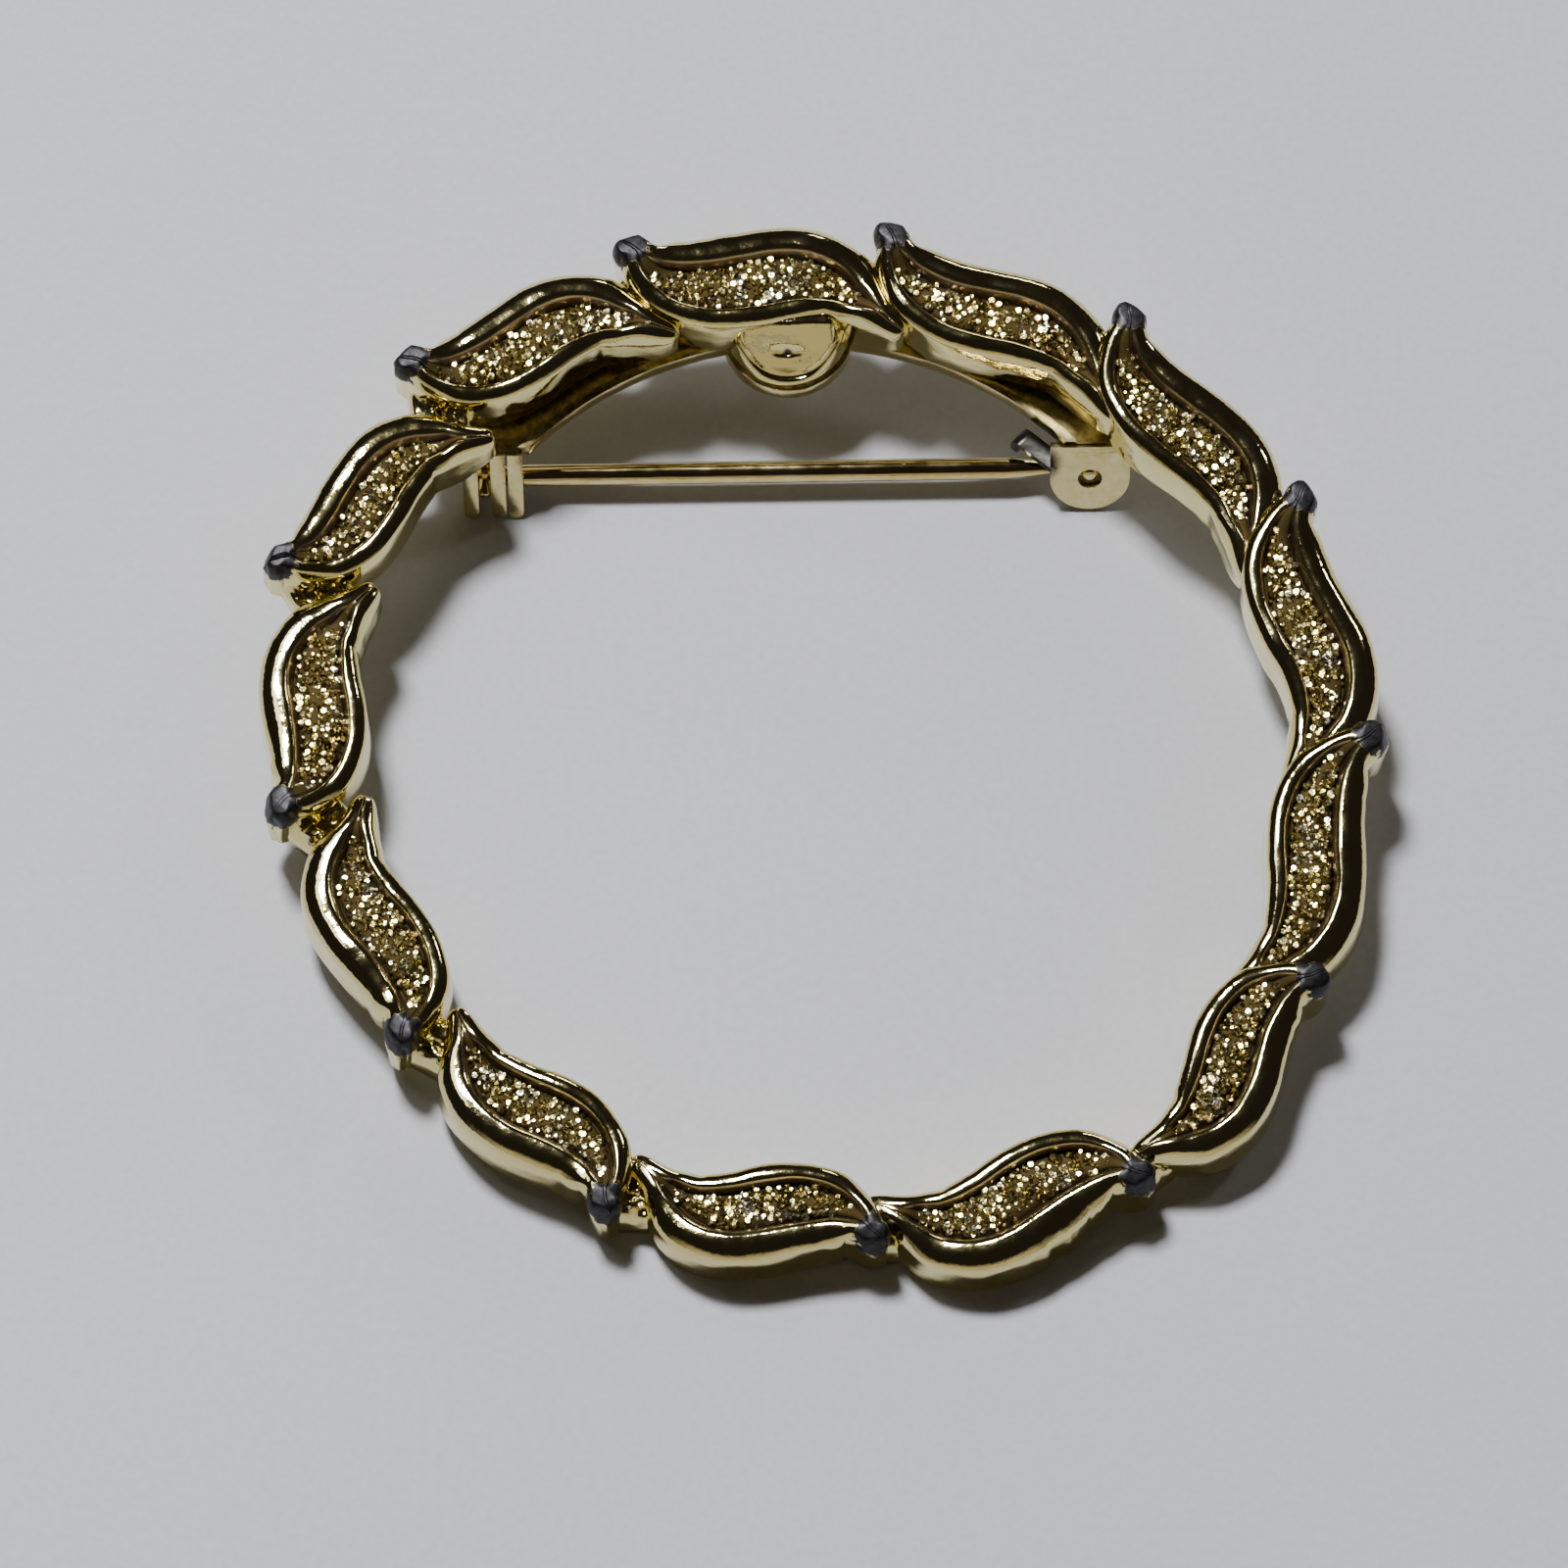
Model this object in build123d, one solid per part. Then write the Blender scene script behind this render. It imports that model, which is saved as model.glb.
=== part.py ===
from build123d import *
import math
import os

# A wreath brooch lying face up: one casting of overlapping leaves, a stamped
# bar across its back that carries the hinge and the catch, and a pin stem.
# The casting is drawn flat with its back on z = 0, the rest hangs below it,
# and at the end all of it is tipped to the pose in which it lies on a table.

# Casting, mm
RING_RADIUS = 22.4
LEAF_WIDTH = 3.75
CAST_HEIGHT = 3.0
RIM_WIDTH = 1.05
RIM_ROUND = 0.55
FLOOR_DEPTH = 0.75
WEB_HEIGHT = 1.9
LOBE_RADIUS = 2.6
LOBE_HEIGHT = 2.2
LOBE_SLOPE = 46.0
DIMPLE_AT = 0.42
DIMPLE_RADIUS = 0.5
DIMPLE_DEPTH = 0.25
POST_RADIUS = 0.6
POST_HEAD_RADIUS = 1.0
POST_HEAD_HEIGHT = 0.4

# Stamped bar, mm, in a frame turned a little against the casting. Its arc
# lies BAR_SET_IN inside the ring at the top and is folded down at both ends
# BAR_DEPTH below its top.
BAR_TURN = 0.93
BAR_INNER_RADIUS = 15.6
BAR_SET_IN = 1.45
BAR_SHIFT = 0.75
BAR_WIDTH = 2.6
BAR_DEPTH = 7.18
BAR_HEIGHT = 0.8
SHEET = 0.35
LOBE_SHIFT = 1.04
LOBE_OUT = 0.5
LOBE_MARGIN = 0.12
FOLD_LEAN = 27.5
EAR_LENGTH = 3.35

# Hinge, mm, HINGE_SET outwards from the middle of the bar's left end
HINGE_SET = 0.19
FINGER_WIDTH = 0.62
FINGER_SLIT = 0.1
PIVOT_RADIUS = 0.24
PIVOT_HEAD_RADIUS = 0.42
PIVOT_HEAD_HEIGHT = 0.15
EYE_RADIUS = 0.75
EYE_THICKNESS = 0.5
REAR_EAR_RADIUS = 0.65

# Catch, mm, CATCH_SET inwards from the middle of the bar's right end
CATCH_SET = 0.63
CATCH_WIDTH = 3.3
STUD_HOLE_RADIUS = 0.5
STUD_RADIUS = 0.36
STUD_HEAD_RADIUS = 0.75
STUD_HEAD_HEIGHT = 0.18
TONGUE_WIDTH = 0.8
TONGUE_LENGTH = 2.3
TONGUE_BEND = 0.5
TONGUE_DROP = 0.5
TONGUE_HEADING = 139.0

# Pin stem, mm
STEM_DIAMETER = 0.92
STEM_DROP = 1.9
STEM_TIP_SET = 0.38
STEM_TAPER = 3.1
STEM_TIP_RADIUS = 0.12
NECK_DIAMETER = 0.76

# Clearances, mm
SEAT_GAP = 0.05
PIN_GAP = 0.02
RUNNING_GAP = 0.05
SIDE_GAP = 0.08
TONGUE_GAP = 0.4
NECK_GAP = 0.2

# Leaves, clockwise from the top one: the directions of the tip and the tail
# from the ring's centre in degrees, their distances as shares of the ring
# radius, and the width and the outward bow of the middle as shares of the
# leaf width.
LEAVES = [
    # tip at, tip out, tail at, tail out, width, bow
    (110.1, 1.014, 79.1, 0.793, 1.02, 0.01),
    (82.4, 0.988, 48.8, 0.807, 0.94, -0.03),
    (55.0, 0.992, 21.5, 0.822, 0.96, -0.03),
    (27.5, 0.988, -7.4, 0.832, 0.96, 0.07),
    (-0.6, 0.994, -35.1, 0.866, 0.95, 0.00),
    (-28.1, 0.998, -55.4, 0.957, 0.93, -0.07),
    (-56.2, 1.012, -85.2, 0.871, 0.98, 0.05),
    (-84.4, 0.955, -112.9, 0.855, 0.92, 0.05),
    (-113.3, 0.971, -141.7, 0.822, 0.95, -0.08),
    (-142.5, 0.945, -172.3, 0.814, 0.97, 0.03),
    (-171.7, 0.985, 160.0, 0.848, 1.00, 0.02),
    (161.2, 1.042, 135.6, 0.824, 0.91, 0.05),
    (136.0, 1.048, 108.4, 0.820, 0.96, 0.03),
]

# Sections of a leaf from its blunt tip to its pointed tail: place along and
# across the line from tip to tail as shares of that line, half width and
# how far the feet of the walls toward and away from the ring's centre stand
# out as shares of the leaf's width, crest as a share of the casting's
# height, and how much of the floor's depth is sunk there.
SECTIONS = [
    # along, across, half, foot in, foot out, crest, sunk
    (-0.058, 0.010, 0.09, 0.06, 0.06, 0.86, 0.0),
    (-0.042, 0.007, 0.155, 0.13, 0.14, 0.97, 0.0),
    (0.000, 0.000, 0.195, 0.17, 0.18, 1.00, 0.0),
    (0.040, -0.022, 0.235, 0.24, 0.25, 0.98, 0.0),
    (0.080, -0.041, 0.29, 0.31, 0.33, 0.965, 0.3),
    (0.140, -0.051, 0.36, 0.39, 0.42, 0.96, 0.8),
    (0.220, -0.052, 0.43, 0.46, 0.495, 0.96, 1.0),
    (0.320, -0.027, 0.48, 0.51, 0.555, 0.955, 1.0),
    (0.420, 0.024, 0.50, 0.53, 0.58, 0.945, 1.0),
    (0.520, 0.084, 0.495, 0.52, 0.575, 0.93, 1.0),
    (0.620, 0.118, 0.465, 0.49, 0.55, 0.91, 1.0),
    (0.720, 0.122, 0.395, 0.42, 0.48, 0.88, 1.0),
    (0.800, 0.098, 0.315, 0.34, 0.39, 0.85, 0.8),
    (0.860, 0.075, 0.24, 0.265, 0.305, 0.82, 0.2),
    (0.930, 0.048, 0.16, 0.18, 0.21, 0.78, 0.0),
    (1.000, 0.028, 0.07, 0.09, 0.11, 0.72, 0.0),
]
RIM_STEPS = 2
RIM_SHARE_OF_HALF = 0.9
GROOVE_SHARE = 0.85
SWELL = 0.3

# Two webs fill the crotch between a leaf and the next: the ends of each as
# shares along and across the leaf and the next leaf, and its width, mm.
OUTER_WEB = ((0.75, 0.15), (0.04, 0.00), 1.5)
INNER_WEB = ((0.90, 0.06), (0.17, -0.06), 1.9)

# Worked out from the sizes above
BAR_TOP_Y = RING_RADIUS - BAR_SET_IN
BAR_CENTRE_Y = BAR_TOP_Y - BAR_WIDTH - BAR_INNER_RADIUS
FOLD_Y = BAR_TOP_Y - BAR_DEPTH
LOBE_Y = BAR_CENTRE_Y + BAR_INNER_RADIUS + LOBE_OUT
END_INNER_X = math.sqrt(BAR_INNER_RADIUS ** 2 - (FOLD_Y - BAR_CENTRE_Y) ** 2)
END_OUTER_X = math.sqrt((BAR_INNER_RADIUS + BAR_WIDTH) ** 2 - (FOLD_Y - BAR_CENTRE_Y) ** 2)
END_MIDDLE_X = (END_INNER_X + END_OUTER_X) / 2
HINGE_X = -BAR_SHIFT - END_MIDDLE_X - HINGE_SET
CATCH_X = -BAR_SHIFT + END_MIDDLE_X - CATCH_SET
STEM_TIP_X = CATCH_X - STEM_TIP_SET
STEM_RADIUS = STEM_DIAMETER / 2
FLOOR_Z = -SEAT_GAP - BAR_HEIGHT
FOLD_Z = FLOOR_Z + SHEET / 2
LEAN = math.radians(FOLD_LEAN)
FINGER_GAP = 2 * (PIVOT_RADIUS + PIN_GAP)
FINGER_STEP = (FINGER_GAP + FINGER_WIDTH) / 2
FINGERS_REACH = FINGER_STEP + FINGER_SLIT + FINGER_WIDTH * 3 / 2
PIVOT_Z = FLOOR_Z - STEM_DROP


def front_y(z):
    """How far out the middle of the bent-down plates lies at a height."""
    return FOLD_Y - (FOLD_Z - z) * math.tan(LEAN)


SHAFT_Y = front_y(PIVOT_Z) + (SHEET / 2 + SIDE_GAP + STEM_RADIUS) / math.cos(LEAN)
EYE_Y = front_y(PIVOT_Z + EYE_RADIUS) + (SHEET / 2 + SIDE_GAP) / math.cos(LEAN) + EYE_THICKNESS / 2
STEM_Y = max(SHAFT_Y, EYE_Y)
REAR_EAR_Y = STEM_Y + max(STEM_RADIUS, EYE_THICKNESS / 2) + SIDE_GAP
TONGUE_Z = PIVOT_Z + STEM_RADIUS + TONGUE_GAP + SHEET / 2


def polar(radius, degrees):
    """A point at a distance and direction from the ring's centre."""
    return Vector(radius * math.cos(math.radians(degrees)), radius * math.sin(math.radians(degrees)), 0)


def in_leaf(leaf, share_along, share_across):
    """A point of a leaf from its shares of the line from tip to tail."""
    tip_at, tip_out, tail_at, tail_out, width, bow = leaf
    tip = polar(RING_RADIUS * tip_out, tip_at)
    along = polar(RING_RADIUS * tail_out, tail_at) - tip
    across = Vector(-along.Y, along.X, 0)
    bowed = bow * LEAF_WIDTH * max(math.sin(math.pi * share_along), 0)
    return tip + along * share_along + across * share_across + across.normalized() * bowed


def section_points(half, foot_in, foot_out, crest, sunk):
    """One section from its inner foot to its outer foot, as (across, height)."""
    rim = min(RIM_WIDTH, RIM_SHARE_OF_HALF * half)
    depth = FLOOR_DEPTH * sunk
    rise = (1 - sunk) * SWELL
    side = []
    for step in range(RIM_STEPS + 1):
        turn = math.pi / 2 * step / RIM_STEPS
        side.append((rim / 2 * (1 - math.cos(turn)), RIM_ROUND * (1 - math.sin(turn))))
    for step in range(1, RIM_STEPS + 1):
        turn = math.pi / 2 * step / RIM_STEPS
        side.append((rim / 2 * (1 + math.sin(turn)), GROOVE_SHARE * depth * (1 - math.cos(turn))))
    outer = [(half - inset, crest - drop + rise * inset) for inset, drop in side]
    inner = [(-across, height) for across, height in outer]
    middle = (0, crest - depth + rise * half)
    return [(-foot_in, 0)] + inner + [middle] + outer[::-1] + [(foot_out, 0)]


def leaf_solid(leaf):
    """A cast leaf: drafted walls, rounded rims along both edges and a sunk floor."""
    width = LEAF_WIDTH * leaf[4]
    centres = [in_leaf(leaf, row[0], row[1]) for row in SECTIONS]
    rings = []
    for index, (along, across, half, foot_in, foot_out, crest, sunk) in enumerate(SECTIONS):
        ahead = centres[min(index + 1, len(centres) - 1)]
        behind = centres[max(index - 1, 0)]
        heading = (ahead - behind).normalized()
        outward = Vector(-heading.Y, heading.X, 0)
        points = section_points(half * width, foot_in * width, foot_out * width, crest * CAST_HEIGHT, sunk)
        rings.append([centres[index] + outward * side + Vector(0, 0, height) for side, height in points])
    faces = []
    for near, far in zip(rings, rings[1:]):
        for k in range(len(near) - 1):
            faces.append(Face(Wire.make_polygon([near[k], near[k + 1], far[k + 1]])))
            faces.append(Face(Wire.make_polygon([near[k], far[k + 1], far[k]])))
    feet = [ring[0] for ring in rings] + [ring[-1] for ring in rings[::-1]]
    for outline in (rings[0], rings[-1], feet):
        faces.append(Face(Wire.make_polygon(outline)))
    return Solid(Shell(faces))


def web(leaf, next_leaf, ends_and_width):
    """A low web from a leaf to the next."""
    from_share, to_share, width = ends_and_width
    start = in_leaf(leaf, *from_share)
    end = in_leaf(next_leaf, *to_share)
    plane = Plane(origin=start, x_dir=end - start, z_dir=(0, 0, 1))
    block = Box((end - start).length, width, WEB_HEIGHT, align=(Align.MIN, Align.CENTER, Align.MIN))
    return plane * block


def turned(piece):
    """A piece of the finding, turned from the bar's frame to the casting's."""
    return Rot(0, 0, BAR_TURN) * piece


def rod(radius, start, end, end_radius=None):
    """A round rod or cone between two points."""
    start = Vector(start)
    end = Vector(end)
    length = (end - start).length
    align = (Align.CENTER, Align.CENTER, Align.MIN)
    if end_radius is None:
        shape = Cylinder(radius, length, align=align)
    else:
        shape = Cone(radius, end_radius, length, align=align)
    return Plane(origin=start, z_dir=end - start) * shape


def make_lobe():
    """The half-round boss on the inner wall, with a dimple in front and a riveted post below."""
    run = LOBE_HEIGHT / math.tan(math.radians(LOBE_SLOPE))
    boss = rod(LOBE_RADIUS, (0, 0, 0), (0, 0, LOBE_HEIGHT), LOBE_RADIUS - run)
    slope = math.radians(LOBE_SLOPE)
    on_slope = Vector(0, -(LOBE_RADIUS - run * DIMPLE_AT), LOBE_HEIGHT * DIMPLE_AT)
    out_of_slope = Vector(0, -math.sin(slope), math.cos(slope))
    boss -= rod(DIMPLE_RADIUS, on_slope - out_of_slope * DIMPLE_DEPTH, on_slope + out_of_slope)
    below = FLOOR_Z - SEAT_GAP
    post = rod(POST_RADIUS, (0, 0, below), (0, 0, 0))
    head = rod(POST_HEAD_RADIUS, (0, 0, below - POST_HEAD_HEIGHT), (0, 0, below))
    return turned(Pos(-LOBE_SHIFT, LOBE_Y) * (boss + post + head))


def make_wreath():
    """The one casting: every leaf, the webs between them and the lobe."""
    pieces = [leaf_solid(leaf) for leaf in LEAVES]
    for leaf, next_leaf in zip(LEAVES, LEAVES[1:] + LEAVES[:1]):
        pieces += [web(leaf, next_leaf, OUTER_WEB), web(leaf, next_leaf, INNER_WEB)]
    pieces += make_lobe().solids()
    return pieces[0].fuse(*pieces[1:])


def bar_plan(inset):
    """The bar seen from above, drawn in by an inset for the hollow of its channel."""
    outer = Pos(-BAR_SHIFT, BAR_CENTRE_Y) * Circle(BAR_INNER_RADIUS + BAR_WIDTH - inset)
    inner = Pos(-BAR_SHIFT, BAR_CENTRE_Y) * Circle(BAR_INNER_RADIUS + inset)
    tab = Pos(-LOBE_SHIFT, LOBE_Y) * Circle(LOBE_RADIUS + LOBE_MARGIN - inset)
    span = 2 * (BAR_INNER_RADIUS + BAR_WIDTH)
    beyond_fold = Pos(-BAR_SHIFT, FOLD_Y) * Rectangle(span, span, align=(Align.CENTER, Align.MIN))
    return ((outer - inner) + (tab & outer)) & beyond_fold


def fold_plane(x):
    """The plane of the bent-down ends: X along the fold, Y down the plate, Z behind it."""
    return Plane(
        origin=(x, FOLD_Y, FOLD_Z), x_dir=(1, 0, 0), z_dir=(0, math.cos(LEAN), -math.sin(LEAN)))


def ear(x, width, length):
    """A round-ended plate bent down from the bar's end."""
    down = length - width / 2
    outline = Pos(0, down / 2) * Rectangle(width, down) + Pos(0, down) * Circle(width / 2)
    return extrude(fold_plane(x) * outline, SHEET / 2, both=True)


def make_ears():
    """The three fingers and the rear ear of the hinge, bent down from the bar's left end."""
    last = FINGERS_REACH - FINGER_WIDTH / 2
    ears = [ear(HINGE_X + step, FINGER_WIDTH, EAR_LENGTH) for step in (-FINGER_STEP, FINGER_STEP, last)]
    outline = Circle(REAR_EAR_RADIUS) - Circle(PIVOT_RADIUS + PIN_GAP)
    neck = FLOOR_Z + SHEET / 2 - PIVOT_Z
    outline += Pos(0, neck / 2) * Rectangle(2 * REAR_EAR_RADIUS, neck) - Circle(REAR_EAR_RADIUS)
    plane = Plane(origin=(HINGE_X, REAR_EAR_Y, PIVOT_Z), x_dir=(-1, 0, 0), z_dir=(0, 1, 0))
    return ears + [extrude(plane * outline, SHEET)]


def make_tongue():
    """The tongue that leaves the catch plate's edge, passes over the stem and curls down behind it."""
    bend_x = TONGUE_LENGTH - TONGUE_BEND
    top = SHEET / 2
    bend_y = top - TONGUE_BEND
    outline = Pos(bend_x / 2, 0) * Rectangle(bend_x, SHEET)
    corner = Circle(TONGUE_BEND) - Circle(TONGUE_BEND - SHEET)
    quarter = Pos(TONGUE_BEND / 2, TONGUE_BEND / 2) * Rectangle(TONGUE_BEND, TONGUE_BEND)
    outline += Pos(bend_x, bend_y) * (corner & quarter)
    outline += Pos(TONGUE_LENGTH - SHEET / 2, bend_y - TONGUE_DROP / 2) * Rectangle(SHEET, TONGUE_DROP)
    heading = math.radians(TONGUE_HEADING)
    plane = Plane(
        origin=(CATCH_X - (CATCH_WIDTH - TONGUE_WIDTH) / 2, front_y(TONGUE_Z), TONGUE_Z),
        x_dir=(math.cos(heading), math.sin(heading), 0),
        z_dir=(math.sin(heading), -math.cos(heading), 0))
    return extrude(plane * outline, TONGUE_WIDTH / 2, both=True)


def make_back_bar():
    """The stamped bar: a shallow channel with a lobe, and its bent-down hinge and catch."""
    channel = extrude(Pos(0, 0, FLOOR_Z) * bar_plan(0), BAR_HEIGHT)
    channel -= extrude(Pos(0, 0, FLOOR_Z + SHEET) * bar_plan(SHEET), BAR_HEIGHT)
    channel -= Pos(-LOBE_SHIFT, LOBE_Y) * rod(POST_RADIUS + SEAT_GAP, (0, 0, FLOOR_Z - SHEET), (0, 0, 0))
    plate = ear(CATCH_X, CATCH_WIDTH, EAR_LENGTH)
    hole = fold_plane(CATCH_X) * Pos(0, EAR_LENGTH - CATCH_WIDTH / 2) * Cylinder(STUD_HOLE_RADIUS, 2 * SHEET)
    return turned((channel + make_ears() + plate + make_tongue()) - hole)


def make_catch_stud():
    """The peened stud in the catch plate's hole, with its head behind the plate."""
    stud = rod(STUD_RADIUS, (0, 0, -SHEET / 2), (0, 0, SHEET / 2 + SEAT_GAP))
    stud += rod(STUD_HEAD_RADIUS, (0, 0, SHEET / 2 + SEAT_GAP), (0, 0, SHEET / 2 + SEAT_GAP + STUD_HEAD_HEIGHT))
    return turned(fold_plane(CATCH_X) * Pos(0, EAR_LENGTH - CATCH_WIDTH / 2) * stud)


def make_hinge_pin():
    """The wire that the stem turns on, from between two fingers to a peened head behind the rear ear."""
    front = front_y(PIVOT_Z)
    back = REAR_EAR_Y + SHEET + PIN_GAP
    pin = rod(PIVOT_RADIUS, (HINGE_X, front, PIVOT_Z), (HINGE_X, back, PIVOT_Z))
    pin += rod(PIVOT_HEAD_RADIUS, (HINGE_X, back, PIVOT_Z), (HINGE_X, back + PIVOT_HEAD_HEIGHT, PIVOT_Z))
    return turned(pin)


def make_pin_stem():
    """The pin: a flattened eye on the hinge pin, a thinner neck, a straight shaft and a tapered tip."""
    half = EYE_THICKNESS / 2
    eye = rod(EYE_RADIUS, (HINGE_X, STEM_Y - half, PIVOT_Z), (HINGE_X, STEM_Y + half, PIVOT_Z))
    root = (HINGE_X + EYE_RADIUS - STEM_RADIUS / 2, STEM_Y, PIVOT_Z)
    start = (HINGE_X + FINGERS_REACH + NECK_GAP, STEM_Y, PIVOT_Z)
    end = (STEM_TIP_X - STEM_TAPER, STEM_Y, PIVOT_Z)
    tip = (STEM_TIP_X, STEM_Y, PIVOT_Z)
    stem = eye + rod(NECK_DIAMETER / 2, root, start, STEM_RADIUS)
    stem += rod(STEM_RADIUS, start, end)
    stem += rod(STEM_RADIUS, end, tip, STEM_TIP_RADIUS)
    bore = PIVOT_RADIUS + RUNNING_GAP
    stem -= rod(bore, (HINGE_X, STEM_Y - EYE_THICKNESS, PIVOT_Z), (HINGE_X, STEM_Y + EYE_THICKNESS, PIVOT_Z))
    return turned(stem)


def rest_tilt(wreath, back_bar):
    """The angle at which the bent-down ends and the casting's near edge lie on a table."""
    ends_z = back_bar.bounding_box().min.Z
    ends_y = FOLD_Y - EAR_LENGTH * math.sin(LEAN)
    near_y = wreath.bounding_box().min.Y
    return math.degrees(math.atan2(-ends_z, ends_y - near_y))


parts = {
    "wreath": make_wreath(),
    "back_bar": make_back_bar(),
    "hinge_pin": make_hinge_pin(),
    "catch_stud": make_catch_stud(),
    "pin_stem": make_pin_stem(),
}
tipped = Rot(rest_tilt(parts["wreath"], parts["back_bar"]), 0, 0)
lying = {name: tipped * part for name, part in parts.items()}
box = Compound(list(lying.values())).bounding_box()
to_floor = Pos(-box.center().X, -box.center().Y, -box.min.Z)

os.makedirs("parts", exist_ok=True)
for name, part in lying.items():
    export_step(to_floor * part, f"parts/{name}.step")
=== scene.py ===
import math

import bmesh
import bpy
import numpy as np
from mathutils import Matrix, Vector, noise


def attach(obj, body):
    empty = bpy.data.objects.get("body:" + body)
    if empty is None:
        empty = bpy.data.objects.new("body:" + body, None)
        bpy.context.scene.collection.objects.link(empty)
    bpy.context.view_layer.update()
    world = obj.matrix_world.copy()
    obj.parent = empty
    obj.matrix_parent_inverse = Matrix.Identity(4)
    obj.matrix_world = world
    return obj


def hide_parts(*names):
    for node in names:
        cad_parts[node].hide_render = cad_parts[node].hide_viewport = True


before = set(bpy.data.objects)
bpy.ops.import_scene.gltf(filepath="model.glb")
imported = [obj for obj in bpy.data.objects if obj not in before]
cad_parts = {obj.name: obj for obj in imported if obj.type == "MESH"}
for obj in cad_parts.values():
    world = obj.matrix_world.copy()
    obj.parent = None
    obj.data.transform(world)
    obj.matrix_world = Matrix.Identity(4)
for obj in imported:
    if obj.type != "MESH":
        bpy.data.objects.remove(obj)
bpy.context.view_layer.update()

# Sizes are in millimetres, as the casting is drawn: flat, with its back on
# z = 0 and the finding below it. lie() tips them to the pose on the table.
TILT = math.radians(6.1002670)
MOVE = np.array([-0.1168398, 0.0016595, 2.4155455])
BAR_TURN = math.radians(0.93)

# Casting
RING_RADIUS = 22.4
LEAF_WIDTH = 3.75
CAST_HEIGHT = 3.0
NARROW_HALF = 0.75
WIDENS_OVER = 0.6
INNER_RIM = 0.75
OUTER_RIM = 1.15
RIM_SHARE_OF_HALF = 0.9
CREST_AT = 0.56
SHOULDER_STEEPNESS = 0.66
TIP_ROUND = 0.45
FLOOR_DEPTH = 0.62
FIELD_SHARE = 0.78
FIELD_CROWN = 0.14
SWELL = 0.3
BACK_TUCK = 0.10
WALL_FULLNESS = 0.13
WALL_BULGE = 0.7
WALL_SHOULDER = 0.6
TAIL_LIFT = 0.8
TAIL_LIFTS_FROM = 0.78
TAIL_LIFTS_OVER = 0.2
ROLL_HEIGHT = 0.07
ROLL_LENGTH = 1.9

# Ragged casting flash at the foot of one leaf's outer wall
FLASH_LEAF = 6
FLASH_WIDTH = 0.55
FLASH_ENDS_AT = 0.75
FLASH_RAGS = 26

# Rubbed tips: two facets, and how far the bare metal reaches
TIP_AT = -0.012
TOP_FACET = 0.08
TIP_CUT = 0.26
TIP_CUT_DOWN = 0.5
FACET_DEPTH = 0.75
FACET_REACH = 1.1
TOP_FACET_LEANS_BACK = 0.1
TOP_FACET_LEANS_OUT = 0.2
TIP_CUT_LEANS_UP = 0.3
WEAR_REACH = 1.28
WEAR_FADE = 0.8
WEAR_DOWN = 0.9
WEAR_DOWN_FADE = 0.5

# Webs
WEB_HEIGHT = 1.9
WEB_STEPS = 20
WEB_STAIN = 0.12
WEB_MEAN = 0.95
WEB_BACK_POWER = 0.62
WEB_SIDES_POWER = 0.85

# Boss, its dimple and its post
LOBE_CENTRE = (-1.04, 18.85)
LOBE_RADIUS = 2.6
LOBE_LIP = 0.42
LOBE_LIP_WIDTH = 0.32
LOBE_CREASE = 0.12
LOBE_SLOPE = math.radians(51.5)
LOBE_TOP = 2.38
LOBE_FLAT_HALF = 1.6
LOBE_MEETS_WALL = 0.1
LOBE_UNDER_WALL = 0.08
LOBE_SINKS = 2.5
LOBE_BURIED_HEIGHT = 1.5
LOBE_FOOT_EDGE = 0.08
LOBE_SIDE_FROM = 0.2
LOBE_EDGE = 0.12
LOBE_EDGE_DROP = 0.16
LOBE_GROOVE_AT = 0.26
LOBE_GROOVE = 0.07
LOBE_SEGMENTS = 128
DIMPLE_FROM_FRONT = 1.05
DIMPLE_WIDTH = 1.7
DIMPLE_HEIGHT = 0.55
DIMPLE_DEPTH = 0.1
# Painted shade: how dark the dimple is painted
DIMPLE_SHADE = 0.2
PIT_RADIUS = 0.2
PIT_DEPTH = 0.14
# Painted shade: how dark the pit is painted
PIT_SHADE = 0.8
DENTS_ABOVE = 0.3
POST_RADIUS = 0.6
POST_LENGTH = 1.2
POST_HEAD_RADIUS = 1.0
POST_HEAD_HEIGHT = 0.4
POST_HEAD_EDGE = 0.12
POST_SEGMENTS = 40

# Finding, in the bar's turned frame
FLOOR_Z = -0.85
SHEET = 0.35
PIVOT_Z = -2.75
FOLD_Y = 13.77
FOLD_Z = -0.675
LEAN = math.radians(27.5)
HINGE_X = -13.703
CATCH_X = 11.383
STEM_Y = 13.618
REAR_EAR_Y = 14.158
EYE_RADIUS = 0.75
EYE_THICKNESS = 0.5
EYE_EDGE = 0.07
PIVOT_RADIUS = 0.24
PIVOT_HEAD_RADIUS = 0.42
PIVOT_HEAD_HEIGHT = 0.15
BORE_RADIUS = 0.29
STEM_RADIUS = 0.46
NECK_RADIUS = 0.38
STEM_START_X = -11.903
STEM_TAPER_X = 7.903
STEM_TIP_X = 11.003
STEM_TIP_RADIUS = 0.12
STEM_POINT = 0.06
TONGUE_MIDDLE = (9.1, 14.0, -1.75)
TONGUE_RUBBED = 1.15
TONGUE_CLEAN = 1.5
STUD_DOWN = 1.7
STUD_RADIUS = 0.36
STUD_HEAD_RADIUS = 0.75
STUD_HEAD_HEIGHT = 0.18
STUD_SET_BACK = 0.14
SEAT_GAP = 0.05
PIN_GAP = 0.02
STAMPED_EDGE = 0.07
STAMPED_EDGE_ANGLE = math.radians(35)
FLAT_ANGLE = math.radians(1)
SAME_POINT = 1e-7
WIRE_SEGMENTS = 32
EYE_SEGMENTS = 48
STEM_SEGMENTS = 40

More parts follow.
